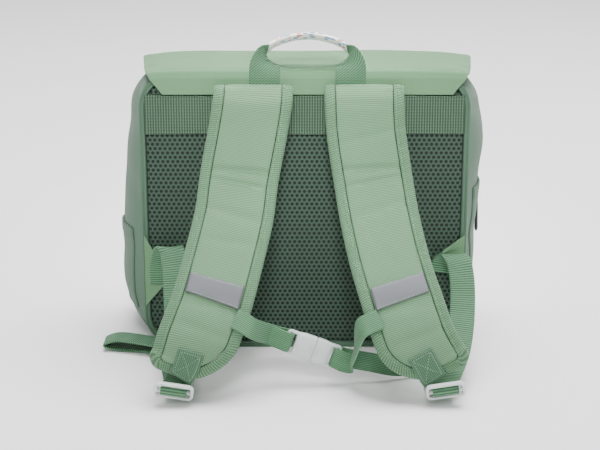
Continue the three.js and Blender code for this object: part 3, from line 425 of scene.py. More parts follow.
def makeStrap(strap):
    # Padding: along the strap and round its section, the outer face crowned and creased, the edges thin
    h = harness
    end = strap["length"] - bindingMargin
    tip = h["tipInner"] - bindingMargin
    turn = np.linspace(0, math.pi / 2, h["tipRows"])
    a = np.concatenate([np.linspace(0, end - tip, h["rows"], endpoint=False), end - tip * np.cos(turn)])[:, None]
    face = np.linspace(-1, 1, h["columns"])
    share = np.concatenate([face, face[::-1]])
    top = np.repeat([1.0, -1.0], h["columns"])
    across = np.where(share < 0, coreReach(strap, a, -1), coreReach(strap, a, 1)) * share
    half = strapThickness(a, h["thickness"]) / 2
    edge = 1 - 0.22 * np.abs(share) ** 9 - 0.08 * share ** 2
    fade = 0.5 + 0.5 * np.cos(share * 1.2)
    crease = sum(depth * bump(a + lean * across, place * strap["length"], width) * fade
                 for place, depth, width, lean in creases[strap["side"]])
    soft = ripple(a, across, 38, 3 if strap["sign"] < 0 else 5) * 0.35 * smooth(12, 40, a)
    out = top * half * edge * h["crown"] + np.where(top > 0, soft - crease, 0) * smooth(10, 40, a)
    points, faces = closedGrid(onStrap(strap, a + tipSlant(strap, a, across), across, out))
    piece = addPiece("padding_" + strap["side"], points, faces, spread(a, across + 200 * (top < 0)), strapCloth,
                     ["strap_" + strap["side"]])


def bindingRoute(strap, side):
    # Half of the binding's line: down one edge, then round the tip's corner
    h = harness
    half = coreHalf + h["bindingGap"]
    radius = tipRadius(strap, side, h["binding"])
    run = strap["length"] - h["binding"] - radius
    turn = np.linspace(0, math.pi / 2, h["turnRows"])
    along = np.concatenate([np.linspace(0, run, h["bindingRows"], endpoint=False), run + radius * np.sin(turn)])
    turns = np.concatenate([np.zeros(h["bindingRows"]), turn])
    return along, side * (half - radius * (1 - np.cos(turns))), turns, np.full(len(along), side)


def bindingFrame(strap):
    # Down one edge, round the tip and up the other: place, away from the padding, outwards, half thickness
    halves = [bindingRoute(strap, side) for side in (-1, 1)]
    along, across, turn, side = [np.concatenate([p, q[::-1]]) for p, q in zip(*halves)]
    point = onStrap(strap, along + tipSlant(strap, along, across), across, 0.0)
    _, tangent, sideways, outwards = strapFrame(strap, along)
    direction = sideways * (side * np.cos(turn))[:, None] + tangent * np.sin(turn)[:, None]
    return point, direction, outwards, strapThickness(along, harness["bindingThickness"])[:, None] / 2


def makeBinding(strap):
    # Folded tape round the strap's edge: flat over the padding, round at the outside, with a stitched groove
    point, direction, outwards, thick = bindingFrame(strap)
    shares = np.array([0.0, 0.08, 0.16, 0.22, 0.3, 0.42, 0.55, 0.68, 0.79, 0.88, 0.95, 0.99, 1.0])
    height = np.array([0.9, 1.04, 1.02, 0.93, 1.03, 1.06, 1.04, 0.97, 0.85, 0.66, 0.42, 0.2, 0.0])
    profileAcross = harness["binding"] * np.concatenate([shares, shares[-2::-1]])
    profileOut = np.concatenate([height, -height[-2::-1]])
    run = runAlong(point)[:, None]
    wave = 1 + 0.05 * np.sin(run * 2 * math.pi / 9.3) + 0.04 * np.sin(run * 2 * math.pi / 23.0)
    points, faces = closedSweep(point, direction, outwards, profileAcross, thick * profileOut * wave)
    piece = addPiece("binding_" + strap["side"], points, faces, spread(run, profileAcross + 30 * (profileOut < 0)),
                     bindingTape, ["strap_binding_" + strap["side"]])


for strap in straps.values():
    makeStrap(strap)
    makeBinding(strap)
print("straps made")

# Bag: gusset and walls

bag = {
    "width": 332.0, "height": 291.0, "depth": 134.0, "frontDrop": 8.0, "wall": 2.5, "gap": 0.3, "corner": 36.0,
    "bulge": 27.0, "mouth": 250.0, "mouthMargin": 3.0, "panel": 6.0, "piping": 3.2, "frontEdge": 8.0,
    "back": -70.0, "columns": 420, "rows": 54, "edgeRows": 14, "girth": 1150.0, "pipingLength": 1170.0,
}
# Swelling of the sides: share of the height, left, right; then share of the depth, swelling, rounding of the edge
bulgeRows = np.array([(0, .2, .2), (.09, .72, .42), (.32, .98, .5), (.52, .9, .6), (.73, .7, .8), (.87, .5, .55),
                      (1, .15, .18)])
swellRows = np.array([(0, 0, 0), (.12, .42, 0), (.35, .88, 0), (.56, 1, 0), (.78, .9, 0), (.93, .66, 0),
                      (.975, .5, .3), (1, .3, 1)])
# Folds of the gusset: side, share of the height, share of the depth, depth in mm, widths up and back, lean
gussetFolds = [(-1, 0.90, 0.16, 5.0, 0.030, 0.16, 0.35), (-1, 0.80, 0.30, 2.0, 0.045, 0.3, -0.2),
               (-1, 0.60, 0.2, 1.6, 0.05, 0.25, 0.3), (-1, 0.34, 0.3, 1.8, 0.05, 0.3, -0.3),
               (-1, 0.13, 0.2, 2.4, 0.035, 0.3, 0.2), (1, 0.86, 0.18, 2.4, 0.03, 0.2, -0.3),
               (1, 0.62, 0.3, 1.6, 0.06, 0.3, 0.3), (1, 0.40, 0.2, 2.0, 0.05, 0.3, -0.2),
               (1, 0.2, 0.25, 2.0, 0.05, 0.3, 0.25)]
shellBack = bag["back"] + bag["panel"] + bag["gap"]
shellDepth = bag["depth"] - bag["panel"] - bag["gap"]


def readRows(rows, column, x):
    # Smooth reading of a table: cubic pieces whose slopes are the mean of the steps beside each row
    t, y = rows[:, 0], rows[:, column]
    slope = np.gradient(y, t)
    x = np.clip(np.asarray(x, float), t[0], t[-1])
    i = np.clip(np.searchsorted(t, x) - 1, 0, len(t) - 2)
    h = t[i + 1] - t[i]
    s = (x - t[i]) / h
    return ((2 * s ** 3 - 3 * s ** 2 + 1) * y[i] + (s ** 3 - 2 * s ** 2 + s) * h * slope[i]
            + (3 * s ** 2 - 2 * s ** 3) * y[i + 1] + (s ** 3 - s ** 2) * h * slope[i + 1])


def sideReach(side, up, back):
    # Half width of the swollen bag at shares of its height and depth, less the folds
    swollen = np.where(side < 0, readRows(bulgeRows, 1, up), readRows(bulgeRows, 2, up))
    reach = bag["width"] / 2 + bag["bulge"] * swollen * readRows(swellRows, 1, back)
    for which, atUp, atBack, depth, widthUp, widthBack, lean in gussetFolds:
        fold = depth * bump(up - lean * (back - atBack) * 0.3, atUp, widthUp) * bump(back, atBack, widthBack)
        reach = reach - np.where(side == which, fold, 0) * smooth(0, 0.08, back)
    return reach


def bagRing(back, samples):
    # Rounded rectangle at one depth, run from the middle of the top: x and z for each share of its length
    inset = bag["frontEdge"] * readRows(swellRows, 2, back)
    top = bag["height"] - bag["frontDrop"] * back - inset
    half = bag["width"] / 2 - inset
    r = bag["corner"] - inset
    tall = top - inset - 2 * r
    upperStart = half - r
    upperEnd = upperStart + r * math.pi / 2
    lowerStart = upperEnd + tall
    lowerEnd = lowerStart + r * math.pi / 2
    total = 2 * (lowerEnd + half - r)
    s = (samples % 1.0) * total
    side = np.where(s > total / 2, -1, 1)
    s = np.minimum(s, total - s)
    upper, lower = (s - upperStart) / r, (s - lowerStart) / r
    parts = [s < upperStart, s < upperEnd, s < lowerStart, s < lowerEnd]
    x = np.select(parts, [s, half - r + r * np.sin(upper), half, half - r + r * np.cos(lower)], total / 2 - s)
    z = np.select(parts, [top, top - r + r * np.cos(upper), top - r - (s - upperEnd),
                          inset + r - r * np.sin(lower)], inset)
    spare = sideReach(side, np.clip(z / bag["height"], 0, 1), back) - bag["width"] / 2
    low = bag["width"] / 2 - bag["corner"] - 10
    return side * (x + spare * smooth(low, bag["width"] / 2 - inset - 4, x)), z


def makeShell():
    # Rings from the middle of the back wall over the gusset to the middle of the front wall, open at the mouth
    b = bag
    samples = np.arange(b["columns"]) / b["columns"]
    round90 = np.sin(np.linspace(0.12, 1, b["edgeRows"]) * math.pi / 2)
    rings = []
    for back in np.concatenate([np.linspace(0, 0.9, b["rows"]), 0.9 + 0.1 * round90]):
        x, z = bagRing(back, samples)
        rings.append(spread(x, shellBack + shellDepth * back, z))
    hubs = np.array([(0, ring[0, 1], b["height"] / 2) for ring in (rings[0], rings[-1])])
    wallShares = (0.98, 0.9, 0.75, 0.5, 0.25)
    backWall = [hubs[0] + (rings[0] - hubs[0]) * share for share in wallShares[::-1]]
    frontWall = [hubs[1] + (rings[-1] - hubs[1]) * share for share in wallShares]
    grid = np.stack(backWall + rings + frontWall)
    rows = len(grid)
    points, (quads, first, last) = closedGrid(grid, hubs=hubs)
    middle = points[quads].mean(axis=1)
    margin = b["mouthMargin"]
    mouth = ((np.abs(middle[:, 0]) < b["mouth"] / 2) & (middle[:, 2] > b["height"] - b["corner"])
             & (middle[:, 1] > shellBack + margin) & (middle[:, 1] < shellBack + shellDepth - margin))
    grid[..., 2] = np.maximum(grid[..., 2], 0)
    points[:, 2] = np.maximum(points[:, 2], 0)
    around = spread(samples * b["girth"], grid[..., 1])
    isWall = (np.arange(rows) < len(backWall)) | (np.arange(rows) >= rows - len(frontWall))
    uv = np.where(isWall[:, None, None], grid[..., [0, 2]], around).reshape(-1, 2)
    piece = addPiece("bag_shell", points, [quads[~mouth], first, last], np.vstack([uv, np.zeros((2, 2))]),
                     shadedGussetCanvas, ["body_shell"])
    solid = piece.modifiers.new("wall", "SOLIDIFY")
    solid.thickness = b["wall"] * mm
    solid.offset = -1
    return piece


shell = makeShell()

# Flap

flapCut = {"thickness": 2.4, "back": 288.0, "front": 348.0, "seam": 269.5, "drop": 140.0, "droop": 7.0,
           "lift": 2.0, "stand": 0.6, "y": -72.5, "hem": 7.0, "shift": 3.0, "seamRows": 60, "rows": 140,
           "columns": 150}


def flapRows():
    # y, z, width and droop of the edges, from the seam over the crowned top to the front's lower edge
    f, b = flapCut, bag
    top = b["height"] + f["lift"] + f["thickness"] / 2
    front = top - b["frontDrop"]
    low = front - f["drop"]
    start = f["y"]
    end = b["back"] + b["depth"] + b["gap"] + f["stand"] + f["thickness"] / 2
    wide = lambda share: f["back"] + (f["front"] - f["back"]) * share
    return np.array([
        (start, f["seam"], wide(0), 0), (start, f["seam"] + 5, wide(0.12), 0), (start, top - 8, wide(0.42), 0.15),
        (start + 1.8, top - 1.8, wide(0.5), 0.4), (start + 8, top, wide(0.56), 0.7),
        (start + (end - start) * 0.35, top + (front - top) * 0.35 + 3.0, wide(0.75), 1),
        (start + (end - start) * 0.7, top + (front - top) * 0.7 + 5.5, wide(0.93), 1),
        (end - 10, front + 3.0, wide(1), 0.8), (end - 2.4, front - 0.6, wide(1), 0.4),
        (end, front - 8, wide(1), 0.1), (end, front - f["drop"] * 0.5, wide(1), 0),
        (end, low + b["corner"] * 0.7, wide(1), 0), (end, low + b["corner"] * 0.2, wide(1) - b["corner"] * 0.7, 0),
        (end, low, wide(1) - b["corner"] * 1.8, 0)])


def makeFlap():
    # Along the path over the bag, share across: width and droop from the rows, hem and soft waves added outwards
    f = flapCut
    rows = flapRows()
    path = runAlong(rows[:, :2])
    length = path[-1]
    seam = np.linspace(0, 60, f["seamRows"], endpoint=False)
    along = np.concatenate([seam, np.linspace(60, length, f["rows"])])[:, None]
    y, z, width, droop = [np.interp(along, path, column) for column in rows.T]
    share = np.sin(np.linspace(-1, 1, f["columns"]) * math.pi / 2)[None, :]
    x = f["shift"] + share * width / 2
    slope = unit(np.gradient(np.hstack([y, z]), along[:, 0], axis=0))
    outY, outZ = -slope[:, 1:], slope[:, :1]
    fromEdge = (1 - np.abs(share)) * width / 2
    hem = 0.55 * (smooth(f["hem"] + 0.6, f["hem"] - 0.4, fromEdge) - bump(fromEdge, f["hem"] - 1.6, 0.5) * 0.9)
    hem = hem + 0.55 * smooth(f["hem"] + 0.6, f["hem"] - 0.4, length - along)
    free = smooth(14, 50, along)
    soft = ripple(x, along, 95, 8) * 1.1 * free + 0.9 * np.sin(along / 9.0) * smooth(26, 4, fromEdge) * free
    low = -f["droop"] * droop * np.abs(share) ** 8
    half = f["thickness"] / 2
    rise = hem + np.maximum(soft, -0.2) + half
    section, faces = closedSlab(spread(x, y + outY * rise, z + low + outZ * rise),
                                spread(x, y - outY * half, z + low - outZ * half))
    uv = spread(x, along)
    piece = addPiece("flap", section, faces, np.concatenate([uv, uv[:, ::-1] + [400, 0]], axis=1), canvas,
                     ["flap"])


makeFlap()
print("bag and flap made")

# Back panel, its piping and the band across it

# Light and thread are the net's yarn; the darkening from thread to hole is painted shade inside each hole
spacer = {"pitch": 5.0, "row": 4.45, "dimple": 0.9, "hole": "#0b1710", "thread": "#22352a", "light": "#374c3e",
          "columns": 250, "rows": 244, "edge": 7.0, "edgeDrop": 2.4}


def honeycomb(x, z):
    # Sum of three cosines: 3 at each hole of the staggered rows, -1.5 between them
    a = 2 * math.pi * (x / spacer["pitch"] - z / (2 * spacer["row"]))
    b = 2 * math.pi * z / spacer["row"]
    return np.cos(a) + np.cos(b) + np.cos(a + b)


def meshMaterial():
    # Knitted polyester spacer mesh: a paler net of threads, its holes dark with painted shade, on Object
    # coordinates, matt
    material, tree, shader = newMaterial("spacer mesh", {"Roughness": 0.9})
    where = addNode(tree, "ShaderNodeTexCoord").outputs["Object"]
    across, up = 2 * math.pi / (spacer["pitch"] * mm), 2 * math.pi / (spacer["row"] * mm)
    total = None
    for direction in ((across, 0, -0.5 * up), (0, 0, up), (across, 0, 0.5 * up)):
        phase = addNode(tree, "ShaderNodeVectorMath", {0: where, 1: direction}, operation="DOT_PRODUCT")
        wave = addNode(tree, "ShaderNodeMath", {0: phase.outputs["Value"]}, operation="COSINE").outputs[0]
        total = wave if total is None else addNode(tree, "ShaderNodeMath", {0: total, 1: wave},
                                                   operation="ADD").outputs[0]
    share = addNode(tree, "ShaderNodeMapRange", {"Value": total, "From Min": -1.5, "From Max": 3.0})
    ramp = addNode(tree, "ShaderNodeValToRGB", {"Fac": share.outputs[0]})
    for stop, place, tint in zip(ramp.color_ramp.elements, (0.1, 0.62), (spacer["light"], spacer["hole"])):
        stop.position = place
        stop.color = linear(tint)
    ramp.color_ramp.elements.new(0.32).color = linear(spacer["thread"])
    tree.links.new(ramp.outputs["Color"], shader.inputs["Base Color"])
    return material


def makePanel():
    # Grid over the panel, its margin pulled in to the rounded outline; each hole is a small dimple. The rim goes
    # straight back to the seam, and a fan of triangles closes the back
    inset = bag["piping"] * 2 + bag["gap"]
    half, middle = bag["width"] / 2 - inset, bag["height"] / 2
    x = np.linspace(-half, half, spacer["columns"])
    z = np.linspace(inset, bag["height"] - inset, spacer["rows"])
    x, z = np.meshgrid(x, z, indexing="ij")
    r = bag["corner"] - inset
    dx = np.maximum(np.abs(x) - (half - r), 0)
    dz = np.maximum(np.abs(z - middle) - (middle - inset - r), 0)
    far = np.maximum(np.hypot(dx, dz), 1e-9)
    scale = np.where((dx > 0) & (dz > 0), np.maximum(dx, dz) / far, 1)
    px = np.sign(x) * (np.abs(x) - dx + dx * scale)
    pz = middle + np.sign(z - middle) * (np.abs(z - middle) - dz + dz * scale)
    edge = np.clip(np.minimum(half - np.abs(x), middle - inset - np.abs(z - middle)) / spacer["edge"], 0, 1)
    holes = smooth(0.2, 2.2, honeycomb(px, pz)) * spacer["dimple"]
    soft = np.clip(ripple(px, pz, 120, 4) * 0.3, 0, 1)
    drop = spacer["edgeDrop"] * (1 - np.sqrt(np.clip(1 - (1 - edge) ** 2, 0, 1)))
    front = spread(px, bag["back"] + drop + holes + soft, pz).reshape(-1, 3)
    index = np.arange(len(front)).reshape(x.shape)
    ring = np.concatenate([index[0], index[1:, -1], index[-1][::-1][1:], index[:, 0][::-1][1:-1]])
    base = front[ring]
    base[:, 1] = bag["back"] + bag["panel"]
    low = len(front) + np.arange(len(ring))
    side = np.stack([ring, low, np.roll(low, -1), np.roll(ring, -1)], axis=-1)
    fan = np.stack([low, np.roll(low, -1), np.full(len(ring), low[-1] + 1)], axis=-1)
    points = np.vstack([front, base, [[0, bag["back"] + bag["panel"], middle]]])
    piece = addPiece("back_panel_mesh", points, [gridFaces(*x.shape), side, fan], None, meshMaterial(),
                     ["back_panel"])
    return piece


panel = makePanel()


def roundRect(width, height, radius, count, first=-90, steps=12):
    # Even points round a rectangle with rounded corners, from the start of the corner at the first angle
    start = first + 90.0 * np.arange(4)[:, None]
    angle, corner = np.radians(start + np.linspace(0, 90, steps)), np.radians(start + 45)
    x = (width / 2 - radius) * np.sign(np.cos(corner)) + radius * np.cos(angle)
    y = (height / 2 - radius) * np.sign(np.sin(corner)) + radius * np.sin(angle)
    line = np.stack([x.ravel(), y.ravel()], axis=-1)
    line = np.vstack([line, line[:1]])
    run = runAlong(line)
    return readAt(line, run, np.linspace(0, run[-1], count, endpoint=False))


def makePiping(samples=520, around=28):
    # Doubled cord in the seam: the section is a long oval with a groove down its middle
    r = bag["piping"]
    line = roundRect(bag["width"] - 2 * r, bag["height"] - 2 * r, bag["corner"] - r, samples, 0, 13)
    point = spread(line[:, 0], shellBack - bag["gap"] - r, line[:, 1] + bag["height"] / 2)
    across = unit(np.cross(np.roll(point, -1, axis=0) - np.roll(point, 1, axis=0), (0.0, 1.0, 0.0)))
    angle = np.linspace(0, 2 * math.pi, around, endpoint=False)
    tall = 1.25 * r * np.sin(angle) * (0.42 + 0.9 * np.abs(np.cos(angle)))
    points, faces = closedSweep(point, across, (0.0, -1.0, 0.0), r * np.cos(angle), tall, loop=True)
    uv = spread(np.linspace(0, bag["pipingLength"], samples)[:, None], angle * r)
    addPiece("back_piping", points, faces, uv, shadedGussetCanvas, ["back_piping"])


makePiping()

band = {"low": 228.5, "width": 40.0, "thickness": 2.0, "rib": 2.7, "columns": 741}


def makeRibbedBand():
    # Upright ribs 2.7 mm apart, a raised selvage at each long edge, both edges a little wavy
    half = bag["width"] / 2 - bag["piping"] * 2 - bag["gap"]
    x = np.linspace(-half, half, band["columns"])[:, None]
    up = np.array([0, 0.3, 0.9, 1.6, 2.2, 2.8, 5, 12, 20, 28, 35, 37.2, 37.8, 38.4, 39.1, 39.7, 40])[None, :]
    edge = np.minimum(up, band["width"] - up)
    selvage = bump(edge, 1.3, 0.6) * 0.35 - bump(edge, 2.5, 0.35) * 0.3
    rib = 0.32 * np.sin(x * math.pi / band["rib"]) ** 2 * smooth(2.2, 3.2, edge)
    rounded = np.sqrt(np.clip(edge / 0.8, 0, 1))
    rise = band["thickness"] * (0.25 + 0.75 * rounded) + (rib + selvage) * rounded
    sag = 0.5 * np.sin(x / 41.0) * bump(up, 40, 12) - 0.4 * np.sin(x / 33.0 + 1) * bump(up, 0, 12)
    seat = bag["back"] - bag["gap"]
    z = band["low"] + up + sag
    section, faces = closedSlab(spread(x, seat - rise, z), spread(x, seat, z))
    piece = addPiece("top_band", section, faces, section[..., [0, 2]], bandCloth, ["top_band"])


makeRibbedBand()
print("back panel made")

# Patches and stitches of the straps

patches = {"strip": 22.0, "stripPlace": 0.69, "stripTilt": 4.7, "tab": 28.0, "tabWidth": 25.0, "tabShift": -2.4,
           "tabInset": 3.0, "thickness": 1.0, "seat": 0.55, "rows": 40, "columns": 30}
# Step from stitch to stitch, length and radius of a stitch
stitches = {"strip": (2.8, 1.9, 0.3), "tab": (2.6, 1.8, 0.32), "binding": (3.1, 2.2, 0.3)}
patchSeat = harness["thickness"] / 2 * harness["crown"] + patches["seat"]


def makePatch(strap, name, node, along, width, height, skew, shift, material):
    # Thin patch over the padding: share across and share along, edges rounded, skew tilts it
    i = np.linspace(-0.5, 0.5, patches["rows"])[:, None]
    j = np.linspace(0, 1, patches["columns"])[None, :]
    edge = np.minimum(np.minimum(i + 0.5, 0.5 - i) * width, np.minimum(j, 1 - j) * height)
    rounded = 0.35 + 0.65 * np.sqrt(np.clip(edge / 0.8, 0, 1))
    rise = patches["thickness"] * rounded - 0.25 * bump(edge, 1.7, 0.5)
    outer, inner = [onStrap(strap, along + skew * i + height * j, width * i + shift, lift)
                    for lift in (patchSeat + rise, patchSeat)]
    section, faces = closedSlab(outer, inner)
    uv = spread(width * i, height * j)
    piece = addPiece(name, section, faces, np.concatenate([uv, uv[:, ::-1]], axis=1), material, [node])


def makeStitches(name, line, out, sizes):
    # One small spindle for each stitch: four-sided rings along the line, closed at both ends
    pitch, long, radius = sizes
    run = runAlong(line)
    at = np.arange(pitch / 2, run[-1], pitch)
    a, b = readAt(line, run, at - long / 2), readAt(line, run, at + long / 2)
    normal = unit(readAt(out, run, at))
    side = np.cross(unit(b - a), normal)
    shares = np.array([0.0, 0.25, 0.75, 1.0])
    size = radius * np.array([0.35, 1.0, 1.0, 0.35])[:, None]
    rise = radius * np.array([-0.9, 0.35, 0.35, -0.9])[:, None]
    angle = np.radians([0, 90, 180, 270])
    points = (a[:, None, None] + (b - a)[:, None, None] * shares[:, None, None]
              + side[:, None, None] * (size * np.cos(angle))[..., None]
              + normal[:, None, None] * (rise + size * np.sin(angle))[..., None])
    spindle = np.vstack([gridFaces(4, 4, wrapColumns=True), [[3, 2, 1, 0], [12, 13, 14, 15]]])
    faces = (spindle[None] + (np.arange(len(at)) * 16)[:, None, None]).reshape(-1, 4)
    addPiece(name, points, [faces], None, thread)


def sewStrap(strap):
    # Strip, tab and the rows of stitches that hold them and the binding
    side, p = strap["side"], patches
    strip = strap["length"] * p["stripPlace"]
    tab = strap["length"] - p["tab"]
    half = coreHalf - 0.5
    skew = -strap["sign"] * p["stripTilt"]
    makePatch(strap, "reflective_strip_" + side, "reflective_strip_" + side, strip, half * 2, p["strip"], skew, 0,
              reflective)
    makePatch(strap, "tab_" + side, "lower_tab_" + side, tab, p["tabWidth"], p["tab"], 0, p["tabShift"], tabCloth)
    lift = patchSeat + 0.9
    share = np.linspace(-0.5, 0.5, 40)
    for end, row in (("upper", 1.6), ("lower", p["strip"] - 1.6)):
        along = strip + skew * share + row
        makeStitches("strip_stitches_%s_%s" % (end, side), onStrap(strap, along, half * 2 * share * 0.97, lift),
                     strapFrame(strap, along)[3], stitches["strip"])
    w, t = p["tabWidth"] / 2 - p["tabInset"], p["tab"]
    box = np.array([(-w, 3), (w, 3), (w, t - 3), (-w, t - 3), (-w, 3), (w, t - 3), (w, 3), (-w, t - 3)], float)
    across, down = readAt(box, np.arange(len(box)), np.linspace(0, len(box) - 1, 260)).T
    makeStitches("tab_stitches_" + side, onStrap(strap, tab + down, across + p["tabShift"], lift),
                 strapFrame(strap, tab + down)[3], stitches["tab"])
    point, direction, outwards, thick = bindingFrame(strap)
    line = point + direction * harness["binding"] * 0.22 + outwards * (thick * 0.97)
    makeStitches("binding_stitches_" + side, line, outwards, stitches["binding"])


for strap in straps.values():
    sewStrap(strap)
print("patches sewn on")

# Ladder locks

lock = {"width": 38.0, "height": 18.0, "thickness": 4.5, "bar": 3.2, "shift": 7.5, "drop": 10.0, "stand": 8.5,
        "turn": 9.0, "lean": 20.0}


def lockFrame(strap):
    # Middle of the lock, then across to the right, down along it, and in towards the bag
    turn, lean = math.radians(lock["turn"]), math.radians(lock["lean"])
    across = np.array([math.cos(turn), 0, strap["sign"] * math.sin(turn)])
    down = np.array([0, math.sin(lean), -math.cos(lean)])
    down = unit(down - across * np.dot(down, across))
    tip = strapFrame(strap, np.array([strap["length"]]))[0][0]
    point = tip + [strap["sign"] * lock["shift"], -lock["stand"], -lock["drop"]]
    return point, across, down, np.cross(across, down)


def onFrame(frameOf, points):
    # Moves points drawn flat into a frame of an origin and three directions
    origin, x, y, z = frameOf
    points = np.asarray(points, float)
    return origin + points[..., :1] * x + points[..., 1:2] * y + points[..., 2:] * z


def flatBar(line, wide, tall, power=0.7, loop=False):
    # Bar along a flat line, its section an oval squared by the power; width and thickness may change along it
    point = np.hstack([line, np.zeros((len(line), 1))])
    step = np.roll(point, -1, axis=0) - np.roll(point, 1, axis=0) if loop else np.gradient(point, axis=0)
    angle = np.linspace(0, 2 * math.pi, 24, endpoint=False)
    wide, tall = [np.broadcast_to(size, (len(line),))[:, None] / 2 for size in (wide, tall)]
    return closedSweep(point, np.cross(unit(step), (0.0, 0.0, 1.0)), (0.0, 0.0, 1.0),
                       wide * squared(np.cos(angle), power), tall * squared(np.sin(angle), power), loop)


def makeLock(strap):
    # Ladder lock: rounded frame, a middle bar, and a wide lip on the side away from the strap
    width, height, thickness, bar = [lock[key] for key in ("width", "height", "thickness", "bar")]
    outer = roundRect(width - bar, height - bar, 4.0, 120)
    half = width / 2 - bar
    lip = spread(np.linspace(-half - 1, half + 1, 9), height / 2 - 1.9)
    points, faces = joinParts([
        flatBar(outer, bar, thickness, loop=True),
        flatBar([(-half, 0), (-half / 2, 0), (0, 0), (half / 2, 0), (half, 0)], bar, thickness * 0.9),
        flatBar(lip, [2.6, 3.4, 3.8, 3.9, 3.9, 3.9, 3.8, 3.4, 2.6], thickness * 1.05)])
    name = "ladder_lock_" + strap["side"]
    addPiece(name, onFrame(lockFrame(strap), points), faces, None, acetal, [name])


for strap in straps.values():
    makeLock(strap)
print("ladder locks made")

# Webbing


def ribbonFrames(stations, count):
    # Stations hold x, y, z and the direction across; both are smoothed, then sampled evenly along the length
    curve = smoothCurve([list(place) + list(across) for place, across in stations])
    along = np.linspace(0, curve["length"], count)
    places = curveAt(curve, along)
    tangent = unit(curveTangent(curve, along)[:, :3])
    across = places[:, 3:]
    across = unit(across - tangent * np.sum(across * tangent, axis=1, keepdims=True))
    return {"along": along, "point": places[:, :3], "across": across, "out": np.cross(tangent, across),
            "length": curve["length"], "run": curve["run"]}


def makeWebbing(name, stations, width, thickness, rib, lengthwise, count, material):
    # Flat section carried along the stations; ribs run across it, or along it where lengthwise is set
    frames = ribbonFrames(stations, count)
    share = np.sin(np.linspace(-1, 1, 41 if lengthwise else 17) * math.pi / 2)
    edge = (1 - np.abs(share)) * width / 2
    along = frames["along"][:, None]
    cross = share * width / 2
    ribs = np.sin((cross if lengthwise else along) * math.pi / rib) ** 2 * 0.28 * smooth(0.8, 2.0, edge)
    selvage = 0.18 * bump(edge, 0.9, 0.5)
    tall = thickness / 2 * np.sqrt(np.clip(edge / 0.7 + 0.12, 0, 1)) + (ribs + selvage) * 0.6 + 0 * along
    wide = np.concatenate([cross, cross[::-1]])
    points, faces = closedSweep(frames["point"], frames["across"], frames["out"], wide,
                                np.concatenate([tall, -tall[:, ::-1]], axis=1))
    piece = addPiece(name, points, faces, spread(wide, along), material, [name])
    print("%s: %.0f mm long" % (name, frames["length"]))


# Stations: distance from the middle, from the panel and from the floor
adjuster = {"width": 25.0, "thickness": 1.8, "rib": 2.7, "rows": 1050}
adjusterSeat = bag["back"] - 4 * bag["gap"] - bag["wall"] - 0.9
adjusterRoutes = {
    "left": [(146, 0, 72), (146, -1, 88), (141, -9, 110), (135, -19, 116), (131, -28, 104), (128, -48, 74),
             (124, -88, 44), (120, -121, 22)],
    "right": [(142, 0, 84), (144, -1, 96), (150, -10, 106), (155, -20, 104), (158, -30, 91), (158, -48, 67),
              (151, -86, 38), (139, -121, 22)],
}
adjusterTails = {
    "left": [(122, -130, 8.5), (124, -105, 3.1), (132, -55, 1.9), (139, -22, 1.9)],
    "right": [(133, -130, 8.5), (130, -105, 3.1), (131, -60, 1.9), (132, -28, 1.9)],
}
# The left tail folds back over itself on the floor
adjusterFold = [(160, -3, 1.9), (196, 3, 1.9), (208, 3, 6.4), (197, 3, 11.4), (152, -13, 12.4)]


def lockStations(strap):
    # Way round the lock's middle bar
    middle = (lock["height"] - lock["bar"]) / 4
    over = lock["thickness"] / 2 + 0.3 + adjuster["thickness"] / 2
    local = [(0, 0.5, over + 4.5), (0, -middle, over - 1), (0, -middle, 0), (0, -middle + 1, 0.4 - over),
             (0, 0, -over - 0.6), (0, middle - 1, 0.4 - over), (0, middle, 0), (0, middle + 0.5, over - 1)]
    return [(point, lockFrame(strap)[1]) for point in onFrame(lockFrame(strap), local)]


def makeAdjuster(strap):
    # From the wing up behind the strap, down to the lock, round its bar, and back along the floor
    side, sign = strap["side"], strap["sign"]
    stations = lambda rows, across: [((sign * x, adjusterSeat + y, z), across) for x, y, z in rows]
    lockAcross = lockFrame(strap)[1]
    upright = stations(adjusterRoutes[side], (1, 0, 0))
    upright[-1] = (upright[-1][0], lockAcross)
    tail = stations(adjusterTails[side], (1, 0, 0))
    tail[0] = (tail[0][0], unit(lockAcross + np.array([1.0, 0, 0])))
    if side == "left":
        tail += stations(adjusterFold, (0, -sign, 0))
    makeWebbing("adjuster_webbing_" + side, upright + lockStations(strap) + tail, adjuster["width"],
                adjuster["thickness"], adjuster["rib"], False, adjuster["rows"], ribbedWebbing)


for strap in straps.values():
    makeAdjuster(strap)

# Chest buckle and its webbing

buckle = {"length": 56.0, "width": 26.0, "thickness": 8.0, "bar": 3.0, "slot": 7.0, "tilt": 20.0,
          "middle": (7.0, -169.4, 38.0), "webbing": 20.0, "webbingThickness": 1.8, "rib": 2.2, "rows": 300,
          "place": 0.79, "socketMouth": -2.0, "plugMouth": 2.3}


def buckleFrame():
    tilt = math.radians(buckle["tilt"])
    along = np.array([math.cos(tilt), 0, -math.sin(tilt)])
    down = np.array([-math.sin(tilt), 0, -math.cos(tilt)])
    return np.array(buckle["middle"]), along, down, np.array([0.0, 1.0, 0.0])


